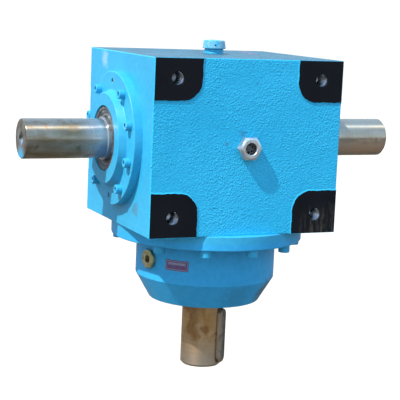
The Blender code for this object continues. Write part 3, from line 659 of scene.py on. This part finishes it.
def weld(mesh):
    """Close the hairline seams that a Boolean can leave."""
    shape = bmesh.new()
    shape.from_mesh(mesh)
    bmesh.ops.remove_doubles(shape, verts=shape.verts, dist=WELD * MM)
    bmesh.ops.dissolve_degenerate(shape, edges=shape.edges, dist=WELD * MM)
    shape.to_mesh(mesh)
    shape.free()


def combine(obj, other, operation="DIFFERENCE"):
    """Cut or join with another object, which is used up."""
    boolean = obj.modifiers.new("combine", "BOOLEAN")
    boolean.operation = operation
    boolean.solver = "EXACT"
    boolean.material_mode = "TRANSFER"
    boolean.object = other
    depsgraph = bpy.context.evaluated_depsgraph_get()
    mesh = bpy.data.meshes.new_from_object(obj.evaluated_get(depsgraph), depsgraph=depsgraph)
    obj.modifiers.clear()
    obj.data = mesh
    bpy.data.objects.remove(other, do_unlink=True)
    weld(mesh)
    return obj


def cylinder(radius, start, end):
    """Outline of a plain cylinder between two distances, for cut and add."""
    return [(0, start), (radius, start), (radius, end), (0, end)]


def cut(obj, corners, place, material, sides=96):
    """Take a turned shape out of a piece; the cut faces get the material."""
    combine(obj, lathe("cutter", corners, place, material, sides))


def add(obj, corners, place, material, sides=96):
    """Join a turned shape to a piece."""
    combine(obj, lathe("addition", corners, place, material, sides), operation="UNION")


def smooth(obj):
    """Smooth shading between sharp edges, with flat faces kept flat."""
    obj.data.shade_smooth()
    obj.data.set_sharp_from_angle(angle=math.radians(SHARP_ANGLE))
    weighted = obj.modifiers.new("weighted", "WEIGHTED_NORMAL")
    weighted.keep_sharp = True


def part(obj, replaces=(), body="housing"):
    """Finish a piece: its shading, its body and the CAD nodes that it stands for."""
    smooth(obj)
    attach(obj, body)
    if replaces:
        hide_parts(*replaces)


def copy_piece(pattern, name, matrix):
    """A copy of a pattern drawn in the shared frame's metres, moved to a place."""
    obj = new_object(name, pattern)
    obj.matrix_world = matrix
    return obj


def stadium(length, width, steps=12):
    """Outline of a parallel key with round ends, long along X."""
    reach = (length - width) / 2
    ends = []
    for centre, start in ((reach, -90), (-reach, 90)):
        for step in range(steps + 1):
            x, y = polar(width / 2, start + 180 * step / steps)
            ends.append((centre + x, y))
    return ends


def tap(obj, place, thread, face, depth, paint):
    """Cut a tapped hole with a drill point, its chamfered mouth in the paint of the face."""
    minor, major, pitch = thread
    corners = [(0, face - depth - minor * 0.5), (minor, face - depth)]
    z = face - depth + 1
    while z < face - pitch * 1.2:
        corners += [(minor, z), (major, z + pitch * 0.42), (major, z + pitch * 0.5),
                    (minor, z + pitch * 0.92)]
        z += pitch
    cut(obj, corners + [(minor, face + 4), (0, face + 4)], place, "thread_steel", 48)
    reach = (major - minor) * MOUTH_SHARE
    mouth = [(0, face - reach), (minor, face - reach), (minor + reach + 1, face + 1), (0, face + 1)]
    cut(obj, mouth, place, paint, 48)


# ---- housing

def pad_outline(face, x_sign, z_sign, inset):
    """One corner pad with slightly uneven inner edges; a negative inset widens it inwards."""
    edge_x = HALF_WIDTH - PAD_INSET - max(inset, 0)
    edge_z = HALF_HEIGHT - PAD_INSET - max(inset, 0)
    inner_x = PAD_INNER_X + inset
    inner_z = PAD_INNER_Z + inset + PAD_TRIM.get((face, x_sign, z_sign), 0.0)
    radius = PAD_CORNER - inset
    centre_x, centre_z = inner_x + radius, inner_z + radius
    places = [(inner_x, edge_z + (centre_z - edge_z) * k / 10, 180) for k in range(10)]
    for k in range(16):
        x, z = polar(radius, 180 + 6 * k)
        places.append((centre_x + x, centre_z + z, 180 + 6 * k))
    places += [(centre_x + (edge_x - centre_x) * k / 10, inner_z, 270) for k in range(1, 11)]
    outline = []
    for number, (x, z, outwards) in enumerate(places):
        phase = 1.7 * x_sign + 2.9 * z_sign
        uneven = 0.3 * math.sin(0.9 * number + phase) + 0.22 * math.sin(2.3 * number + 2 * phase)
        shift_x, shift_z = polar(uneven, outwards)
        outline.append((x_sign * (x + shift_x), z_sign * (z + shift_z)))
    outline.append((x_sign * edge_x, z_sign * edge_z))
    return outline


def make_housing():
    housing = block("gearbox_housing", (-HALF_WIDTH, -FIELD, -HALF_HEIGHT),
                    (HALF_WIDTH, FIELD, HALF_HEIGHT), "top", "rough_paint", bevel=1.6)
    levels = ((-PAD_WALL, FIELD - 4), (-PAD_WALL, FIELD - 0.05), (-0.5, HALF_DEPTH - 0.3),
              (0.0, HALF_DEPTH - 0.08), (0.3, HALF_DEPTH))
    for face in ("front", "back"):
        for x_sign, z_sign in ((-1, -1), (-1, 1), (1, -1), (1, 1)):
            loops = [(pad_outline(face, x_sign, z_sign, inset), height) for inset, height in levels]
            pad = stack("pad", loops, face, "rough_paint", "black_paint")
            combine(housing, pad, operation="UNION")
    foot = [(0, HALF_HEIGHT - 0.5), (FOOT_RADIUS, HALF_HEIGHT - 0.5, 1.2), (FOOT_RADIUS, FOOT_BOTTOM),
            (0, FOOT_BOTTOM)]
    add(housing, foot, "pinion", "smooth_paint", 192)
    inner = (HALF_WIDTH - WALL, HALF_DEPTH - WALL - PAD_BACKING, HALF_HEIGHT - WALL)
    combine(housing, block("hollow", [-size for size in inner], inner, "top", "rough_paint"))
    for side in ("left", "right"):
        add(housing, cylinder(BOSS_RADIUS, 99.5, HALF_WIDTH - WALL + 4), side, "rough_paint")
        cut(housing, cylinder(BORE_RADIUS, 94, HALF_WIDTH + 5), side, "thread_steel")
    cut(housing, cylinder(LOWER_BORE_RADIUS, 97, FOOT_BOTTOM + 5), "pinion", "thread_steel")
    for face in ("front", "back"):
        for x, z in PAD_HOLES:
            tap(housing, at(face, x, z, 0, 5), M20, HALF_DEPTH, PAD_HOLE_DEPTH, "black_paint")
    for face, radius, surface in (("front", 13.7, FIELD), ("top", 9.0, HALF_HEIGHT)):
        cut(housing, cylinder(radius, 90, surface + 5), face, "thread_steel", 32)
    repaint(housing, "smooth_paint", is_side)
    part(housing, ["housing"])


def repaint(obj, material, chosen):
    """Give the chosen faces of a piece another material."""
    mesh = obj.data
    names = [used.name for used in mesh.materials]
    if MATERIALS[material].name not in names:
        mesh.materials.append(MATERIALS[material])
        names.append(MATERIALS[material].name)
    for face in mesh.polygons:
        if chosen(face):
            face.material_index = names.index(MATERIALS[material].name)


def is_side(face):
    """True on the machined left and right faces of the housing."""
    return abs(face.normal.x) > 0.99 and abs(face.center.x) > (HALF_WIDTH - 0.1) * MM


def is_right_steel(face):
    """True on the turned skin of the cross shaft's cleaner right half."""
    return face.material_index == 0 and face.center.x > 0


def is_shaft_end(face):
    return abs(face.normal.x) > 0.9 and abs(face.center.x) > (SHAFT_END - 0.2) * MM


# ---- covers, carrier, seals

def make_cover(side):
    joint = HALF_WIDTH + PAINTED_JOINT
    corners = [(60, 133.1), (60, joint), (COVER_RADIUS, joint), (COVER_RADIUS, COVER_FACE, 1.3),
               (67.2, COVER_FACE, 1.6), (62.9, HUB_FACE, 1.0), (45.4, HUB_FACE, 0.7), (45.4, 151),
               (38, 151), (38, 133.1)]
    cover = lathe(f"{side}_end_cover", corners, side, "smooth_paint", 160)
    for angle in (-90, 90):
        x, y = polar(COVER_BOLT_CIRCLE, angle)
        tap(cover, at(side, x, y), M8, COVER_FACE, JACKING_DEPTH, "smooth_paint")
    part(cover, [f"{side}_bearing_cover"])
    make_seal(f"{side}_shaft_seal", side, JOURNAL_RADIUS, 45.0, 151.3, 161.0, f"{side}_oil_seal")


def make_seal(name, place, inner, outer, start, end, node_name):
    """A lip seal: steel-cored ring, a groove round its face, and the dust lip on the shaft."""
    corners = [(outer, start), (outer, end, 0.8), (outer - 4.5, end, 0.6), (outer - 5.6, end - 1.4, 0.5),
               (outer - 8.0, end - 1.4, 0.5), (inner + 4.2, end - 2.8, 0.8), (inner + 2.0, end - 0.6, 0.6),
               (inner + 0.32, end - 2.2, 0.3), (inner + 1.6, end - 5.4), (inner + 4.0, start)]
    part(lathe(name, corners, place, "rubber", 120), [node_name])


def make_carrier():
    joint = FOOT_BOTTOM + PAINTED_JOINT
    corners = [(98, 104), (98, joint), (FOOT_RADIUS, joint), (FOOT_RADIUS, CARRIER_FACE, 1.8),
               (CARRIER_BODY_RADIUS, CARRIER_FACE, 2.0), (CARRIER_BODY_RADIUS, CARRIER_TAPER_START, 1.5),
               (80, CARRIER_END, 1.6), (55.4, CARRIER_END, 0.8), (55.4, 182), (50, 182), (50, 179),
               (84, 179), (84, 142), (56, 142), (56, 138), (62.9, 138), (62.9, 104)]
    carrier = lathe("pinion_carrier_casting", corners, "pinion", "carrier_paint", 192)
    for angle in CARRIER_JACKING_ANGLES:
        x, y = polar(CARRIER_BOLT_CIRCLE, angle)
        tap(carrier, at("pinion", x, y), M10, CARRIER_FACE, JACKING_DEPTH, "carrier_paint")
    spot_face = [(0, SPOT_FACE), (15.5, SPOT_FACE, 0.8), (15.5, 108), (0, 108)]
    cut(carrier, spot_face, "drain", "carrier_paint", 64)
    cut(carrier, cylinder(10.8, 76, 108), "drain", "thread_steel", 48)
    part(carrier, ["pinion_carrier"])
    make_seal("pinion_shaft_seal", "pinion", PINION_RADIUS, 55.0, 223.0, 231.0, "pinion_oil_seal")


# ---- screws

def hexagon_socket(obj, radius, chamfer, heights, place, material):
    """Cut a hexagon socket, from its drill point up past its chamfered mouth."""
    radii = (radius * 0.3, radius, radius, radius + chamfer, radius + chamfer)
    loops = [([polar(size, 60 * k) for k in range(6)], z) for size, z in zip(radii, heights)]
    combine(obj, stack("socket", loops, place, material))


def screw_pattern(name, shank, head, height, length, socket):
    """A socket head cap screw standing on z = 0; shank, head and socket are radii."""
    here = Matrix.Identity(4)
    corners = [(0, height), (head, height, 0.9), (head, 0.02, 0.5), (shank, 0), (shank, -length, 0.8),
               (0, -length)]
    screw = lathe(name, corners, here, "fastener_paint", 48)
    heights = (height * 0.35, height * 0.48, height - 0.55, height + 0.02, height + 3)
    hexagon_socket(screw, socket, 0.55, heights, here, "fastener_paint")
    smooth(screw)
    mesh = screw.data
    bpy.data.objects.remove(screw, do_unlink=True)
    return mesh


def place_screws(prefix, cad_prefix, mesh, place, radius, angles, face):
    for number, angle in enumerate(angles, start=1):
        x, y = polar(radius, angle)
        spun = 37 * number % 60
        screw = copy_piece(mesh, f"{prefix}_{number}", at(place, x, y, face + PAINTED_JOINT, spun))
        part(screw, [f"{cad_prefix}_{number}"])


def make_screws():
    small = screw_pattern("cover_cap_screw", 4.0, 6.5, 8.2, 26.0, 3.5)
    large = screw_pattern("carrier_cap_screw", 5.0, 8.0, 10.2, 18.4, 4.6)
    for side in ("left", "right"):
        place_screws(f"{side}_cap_screw", f"{side}_cover_screw", small, side, COVER_BOLT_CIRCLE,
                     COVER_SCREW_ANGLES, COVER_FACE)
    angles = [angle for angle in CARRIER_ANGLES if angle not in CARRIER_JACKING_ANGLES]
    place_screws("carrier_cap_screw", "carrier_screw", large, "pinion", CARRIER_BOLT_CIRCLE, angles,
                 CARRIER_FACE)


# ---- shafts and keys

def key_solid(name, place, angle, sizes, material, grow=0.0, bevel=0.0):
    """A parallel key lying along a shaft, or the cutter of its keyway.

    sizes are where it starts and ends along the shaft, its width, and the distances of its
    bottom and top from the shaft's axis.
    """
    start, end, width, bottom, top = sizes
    length = end - start + 2 * grow
    matrix = (at(place, *polar((top + bottom) / 2, angle), (start + end) / 2)
              @ Matrix.Rotation(math.radians(angle), 4, "Z") @ Matrix.Rotation(math.radians(90), 4, "Y"))
    half = (top - bottom) / 2 + grow
    wide = stadium(length, width + 2 * grow)
    narrow = stadium(length - 2 * bevel, width + 2 * grow - 2 * bevel)
    if bevel:
        loops = [(narrow, -half), (wide, bevel - half), (wide, half - bevel), (narrow, half)]
    else:
        loops = [(wide, -half), (wide, half)]
    return stack(name, loops, matrix, material)


def keyway(shaft, place, angle, sizes, material):
    combine(shaft, key_solid("keyway", place, angle, sizes, material, grow=KEYWAY_PLAY))


def drill_centre(shaft, place, end):
    """Cut a centre hole with a recessed mouth into a shaft's end."""
    corners = [(0, end - 18), (4.6, end - 14), (4.6, end - 4.2), (8.2, end - 0.6), (9.4, end + 0.1),
               (9.4, end + 3), (0, end + 3)]
    cut(shaft, corners, place, "thread_steel", 48)


def make_cross_shaft():
    corners = [(0, -SHAFT_END), (SHAFT_RADIUS, -SHAFT_END, 1.6), (SHAFT_RADIUS, -JOURNAL_END, 0.6),
               (JOURNAL_RADIUS, -JOURNAL_END, 0.7), (JOURNAL_RADIUS, -134), (32.5, -134), (32.5, -99),
               (35, -99), (35, -42), (40, -42, 0.6), (40, -32, 0.6), (37, -32), (37, 99.6), (32.5, 99.6),
               (32.5, 134), (JOURNAL_RADIUS, 134), (JOURNAL_RADIUS, JOURNAL_END, 0.7),
               (SHAFT_RADIUS, JOURNAL_END, 0.6), (SHAFT_RADIUS, SHAFT_END - 3, 0.5),
               (SHAFT_RADIUS - 3, SHAFT_END, 0.5), (0, SHAFT_END)]
    shaft = lathe("cross_shaft_turned", corners, "right", "cross_steel", 128)
    for side, angle in (("left", 180), ("right", 0)):
        keyway(shaft, side, angle, END_KEY, "cross_steel")
        key = key_solid(f"{side}_end_key", side, angle, END_KEY, "key_steel", bevel=0.6)
        part(key, [f"{side}_shaft_key"], "cross_shaft")
        drill_centre(shaft, side, SHAFT_END)
    keyway(shaft, "left", 180, WHEEL_KEYWAY, "cross_steel")
    repaint(shaft, "bright_steel", is_right_steel)
    repaint(shaft, "end_steel", is_shaft_end)
    part(shaft, ["cross_shaft"], "cross_shaft")


def make_pinion_shaft():
    """The toothed head is the CAD shaft's own; the stem below it is turned smooth."""
    head = copy_piece(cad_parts["pinion_shaft"].data.copy(), "pinion_shaft_turned",
                      Matrix.Identity(4))
    head.data.materials.clear()
    head.data.materials.append(MATERIALS["gear_steel"])
    below = block("below_head", (-90, -90, -PINION_END - 10), (90, 90, -96), "top", "gear_steel")
    combine(head, below)
    stem = [(0, 90), (30, 90), (41, 94.5, 0.5), (41, 104, 0.5), (35, 104), (35, 140), (33, 140),
            (33, 180), (PINION_RADIUS, 180, 0.6), (PINION_RADIUS, PINION_END - 3, 0.8),
            (PINION_RADIUS - 3, PINION_END, 0.5), (0, PINION_END)]
    add(head, stem, "pinion", "pinion_steel", 128)
    keyway(head, "pinion", PINION_KEY_ANGLE, PINION_KEYWAY, "pinion_steel")
    drill_centre(head, "pinion", PINION_END)
    part(head, ["pinion_shaft"], "pinion_shaft")
    key = key_solid("pinion_end_key", "pinion", PINION_KEY_ANGLE, PINION_KEY, "key_steel", bevel=0.9)
    part(key, ["pinion_shaft_key"], "pinion_shaft")


# ---- fittings

def make_sight_glass():
    """A plated hexagon body with turned corners, a window, and a perforated reflector."""
    field = FIELD + PAINTED_JOINT
    hexagon = [polar(SIGHT_ACROSS / math.sqrt(3), 60 * k) for k in range(6)]
    body = stack("sight_glass_fitting", [(hexagon, field), (hexagon, field + 9)], "front", "zinc_body")
    rim = [(14.8, field + 9.6, 0.4), (12.7, field + 10.98, 0.8), (0, field + 10.98)]
    envelope = [(0, field - 1), (15.4, field - 1), (17.4, field + 0.9), (17.4, field + 7.4),
                (14.8, field + 8.9, 0.5)] + rim
    combine(body, lathe("envelope", envelope, "front", "zinc_body"), operation="INTERSECT")
    add(body, [(0, field + 6), (14.8, field + 6)] + rim, "front", "zinc")
    stem = field - FITTING_DEPTH
    add(body, [(0, stem), (13, stem, 0.8), (13, field + 1), (0, field + 1)], "front", "zinc")
    window = [(0, field - 15), (10, field - 15), (10, field + 6.5), (8.1, field + 6.5),
              (8.1, field + 10.0), (9.3, field + 11.2), (9.3, field + 13), (0, field + 13)]
    cut(body, window, "front", "zinc", 64)
    part(body, ["sight_glass_body"])
    lens = [(0, field + 3.4), (9.7, field + 3.4, 0.3), (9.7, field + 6.2, 0.3), (7.4, field + 6.2, 0.6),
            (0, field + 6.6)]
    part(lathe("sight_glass_window", lens, "front", "glass", 64), ["sight_glass_lens"])
    plate = [(0, field + 1.2), (9.7, field + 1.2, 0.2), (9.7, field + 2.6, 0.4), (0, field + 2.6)]
    reflector = lathe("sight_glass_reflector", plate, "front", "reflector", 64)
    for number in range(6):
        x, y = polar(5.6, 60 * number + 20)
        cut(reflector, cylinder(1.9, field + 0.5, field + 3.5), at("front", x, y), "reflector", 20)
    part(reflector)


def make_breather():
    seat = HALF_HEIGHT + PAINTED_JOINT
    stem = seat - FITTING_DEPTH
    body = [(0, stem), (8.3, stem, 0.8), (8.3, seat), (13.6, seat, 0.4),
            (13.6, seat + 2.2, 0.6), (12.9, seat + 2.9, 0.4), (13.6, seat + 3.6, 0.6),
            (13.6, seat + 6.9, 0.9), (9, seat + 7.0), (9, seat + 13), (0, seat + 13)]
    part(lathe("breather_plug", body, "top", "fastener_paint", 72), ["breather_body"])
    hood = [(0, seat + 14), (9.6, seat + 14), (9.6, seat + 7.4), (16.5, seat + 7.4, 0.8),
            (16.5, seat + 9.0, 1.0), (14.9, seat + 19.0, 1.6), (0, seat + 19.98)]
    cap = lathe("breather_hood", hood, "top", "worn_paint")
    sideways = Matrix.Rotation(math.radians(90), 4, "Y")
    vent = at("top", 0, 0, VENT_HEIGHT) @ Matrix.Rotation(math.radians(VENT_ANGLE), 4, "Z") @ sideways
    cut(cap, [(0, 8), (1.1, 8), (1.1, 14.6), (1.5, 20), (0, 20)], vent, "black_paint", 24)
    part(cap, ["breather_cap"])


def make_drain_plug():
    seat = SPOT_FACE + PAINTED_JOINT
    corners = [(0, seat - 13), (10.2, seat - 13, 0.8), (10.2, seat), (13.25, seat, 0.3),
               (13.25, seat + 5.7, 1.1), (0, seat + 5.7)]
    plug = lathe("drain_screw_plug", corners, "drain", "yellow_zinc", 72)
    heights = [seat + step for step in (-3.2, -1.6, 5.2, 5.75, 9)]
    hexagon_socket(plug, DRAIN_SOCKET / math.sqrt(3), 0.6, heights, "drain", "yellow_zinc")
    part(plug, ["drain_plug"])


# ---- labels

LABEL_ANGLE = -137.0  # middle of the drain label round the carrier, on the world's compass
LABEL_LENGTH = 35.0
LABEL_HEIGHT = 15.0
LABEL_DEPTH = 170.5
TOP_LABEL_TURN = 80.0


def curved_patch(name, radius, half_length, half_height, thickness, material, lift=0.0):
    """A thin patch wrapped on the carrier's cylinder, centred on the label's place."""
    shape = bmesh.new()
    columns = 16
    rows = []
    for column in range(columns + 1):
        turn = math.degrees(half_length / radius) * (2 * column / columns - 1)
        low, high = polar(radius, LABEL_ANGLE + turn), polar(radius + thickness, LABEL_ANGLE + turn)
        bottom, top = lift - LABEL_DEPTH - half_height, lift - LABEL_DEPTH + half_height
        rows.append([shape.verts.new((*low, bottom)), shape.verts.new((*high, bottom)),
                     shape.verts.new((*high, top)), shape.verts.new((*low, top))])
    for one, two in zip(rows, rows[1:]):
        for k in range(4):
            j = (k + 1) % 4
            shape.faces.new((one[k], one[j], two[j], two[k]))
    shape.faces.new(rows[0])
    shape.faces.new(rows[-1])
    return finish_mesh(name, shape, "top", material)


def make_labels():
    """Blank labels: a red film with a pale frame, and a red film lying on the top."""
    radius = CARRIER_BODY_RADIUS
    half_length, half_height = LABEL_LENGTH / 2, LABEL_HEIGHT / 2
    part(curved_patch("drain_label", radius, half_length, half_height, 0.18, "label"))
    frame_piece = curved_patch("drain_label_frame", radius + 0.1, half_length - 1.2, half_height - 1.2,
                               0.12, "label_ink")
    hole = curved_patch("hole", radius - 1, half_length - 2.2, half_height - 2.2, 3.0, "label_ink")
    part(combine(frame_piece, hole))
    bar = curved_patch("drain_label_bar", radius + 0.1, half_length - 4.5, 1.7, 0.12, "label_ink", 2.4)
    part(bar)
    outline = rounded([(-42, -5, 1.5), (42, -5, 1.5), (42, 5, 1.5), (-42, 5, 1.5)])
    sticker = stack("top_label", [(outline, HALF_HEIGHT - 0.02), (outline, HALF_HEIGHT + 0.2)],
                    at("top", 78, 50, 0, TOP_LABEL_TURN), "label")
    part(sticker)


# ---- inner parts

def dress_inner_parts():
    """Materials for the CAD nodes that stay: bearings, crown wheel, its key and the locknut."""
    for name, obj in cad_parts.items():
        if obj.hide_render:
            continue
        steel = "bearing_steel" if "bearing" in name else "gear_steel"
        for slot in obj.material_slots:
            slot.material = MATERIALS[steel]


# ---- stage

CAMERA_PLACE = Vector((-0.76211, -1.55432, 0.19691))
CAMERA_FORWARD = Vector((0.40267, 0.90225, -0.15427))
CAMERA_ROLL = math.radians(2.46)
CAMERA_LENS = 116.13
FLOOR_HEIGHT = -0.75
FLOOR_RADIUS = 12.0
FLAG_RADIUS = 14.0
FLAG_LIFT = 0.15
SUN_TRAVEL = Vector((0.715, 0.212, -1.0))


def make_camera():
    camera = new_object("camera", bpy.data.cameras.new("camera"))
    camera.data.lens = CAMERA_LENS
    camera.data.sensor_width = 36.0
    forward = CAMERA_FORWARD.normalized()
    right = forward.cross(Vector((0, 0, 1))).normalized()
    up = right.cross(forward)
    x = right * math.cos(CAMERA_ROLL) + up * math.sin(CAMERA_ROLL)
    y = up * math.cos(CAMERA_ROLL) - right * math.sin(CAMERA_ROLL)
    turn = Matrix((x, y, -forward)).transposed().to_4x4()
    camera.matrix_world = Matrix.Translation(CAMERA_PLACE) @ turn
    bpy.context.scene.camera = camera


def disc(name, radius, height, material):
    mesh = bpy.data.meshes.new(name)
    shape = bmesh.new()
    bmesh.ops.create_circle(shape, cap_ends=True, radius=radius, segments=64,
                            matrix=Matrix.Translation((0, HALF_DEPTH * MM, height)))
    shape.to_mesh(mesh)
    shape.free()
    mesh.materials.append(material)
    obj = new_object(name, mesh)
    return obj


def make_stage():
    """A pale floor, a dark flag under the object that only reflections see, and the sun."""
    floor_paint = make_stage_cloth("floor_paint", 0.85, 0.8, 3.0, (0.80, 0.80, 0.80), (0.83, 0.83, 0.83))
    disc("floor", FLOOR_RADIUS, FLOOR_HEIGHT, floor_paint)
    flag_cloth = make_stage_cloth("flag_cloth", 0.9, 40.0, 2.0, (0.115, 0.095, 0.075), (0.14, 0.12, 0.095))
    flag = disc("dark_flag", FLAG_RADIUS, FLOOR_HEIGHT + FLAG_LIFT, flag_cloth)
    flag.visible_camera = False
    flag.visible_shadow = False
    sun = new_object("key_light", bpy.data.lights.new("key_light", "SUN"))
    sun.data.energy = 5.1
    sun.data.angle = math.radians(1.4)
    sun.data.color = (1.0, 0.97, 0.92)
    sun.rotation_mode = "QUATERNION"
    sun.rotation_quaternion = SUN_TRAVEL.to_track_quat("-Z", "Y")


def make_world():
    """White to the camera; a soft sky that is brightest at the horizon for the lighting."""
    world = bpy.data.worlds.new("studio")
    bpy.context.scene.world = world
    world.use_nodes = True
    tree = world.node_tree
    tree.nodes.clear()
    direction = node(tree, "TexCoord").outputs["Generated"]
    height = component(direction, 2)
    above = node(tree, "MapRange", {"Value": height, "From Min": -0.05, "From Max": 1.0}).outputs[0]
    sky = ramp(above, [(0.040, (0.16, 0.13, 0.10)), (0.050, (0.66, 0.75, 0.83)),
                       (0.35, (0.54, 0.71, 0.92)), (1.0, (0.36, 0.57, 0.90))])
    soft = node(tree, "Background", {"Color": sky, "Strength": 1.4}).outputs[0]
    white = node(tree, "Background", {"Color": colour4((1, 1, 1)), "Strength": 1.05}).outputs[0]
    seen = node(tree, "LightPath").outputs["Is Camera Ray"]
    blend = node(tree, "MixShader", {0: seen, 1: soft, 2: white}).outputs[0]
    output = node(tree, "OutputWorld")
    tree.links.new(blend, output.inputs["Surface"])


make_camera()
make_stage()
make_world()
bpy.context.scene.view_settings.view_transform = "Standard"
make_housing()
for end in ("left", "right"):
    make_cover(end)
make_carrier()
make_screws()
make_cross_shaft()
make_pinion_shaft()
make_sight_glass()
make_breather()
make_drain_plug()
make_labels()
dress_inner_parts()
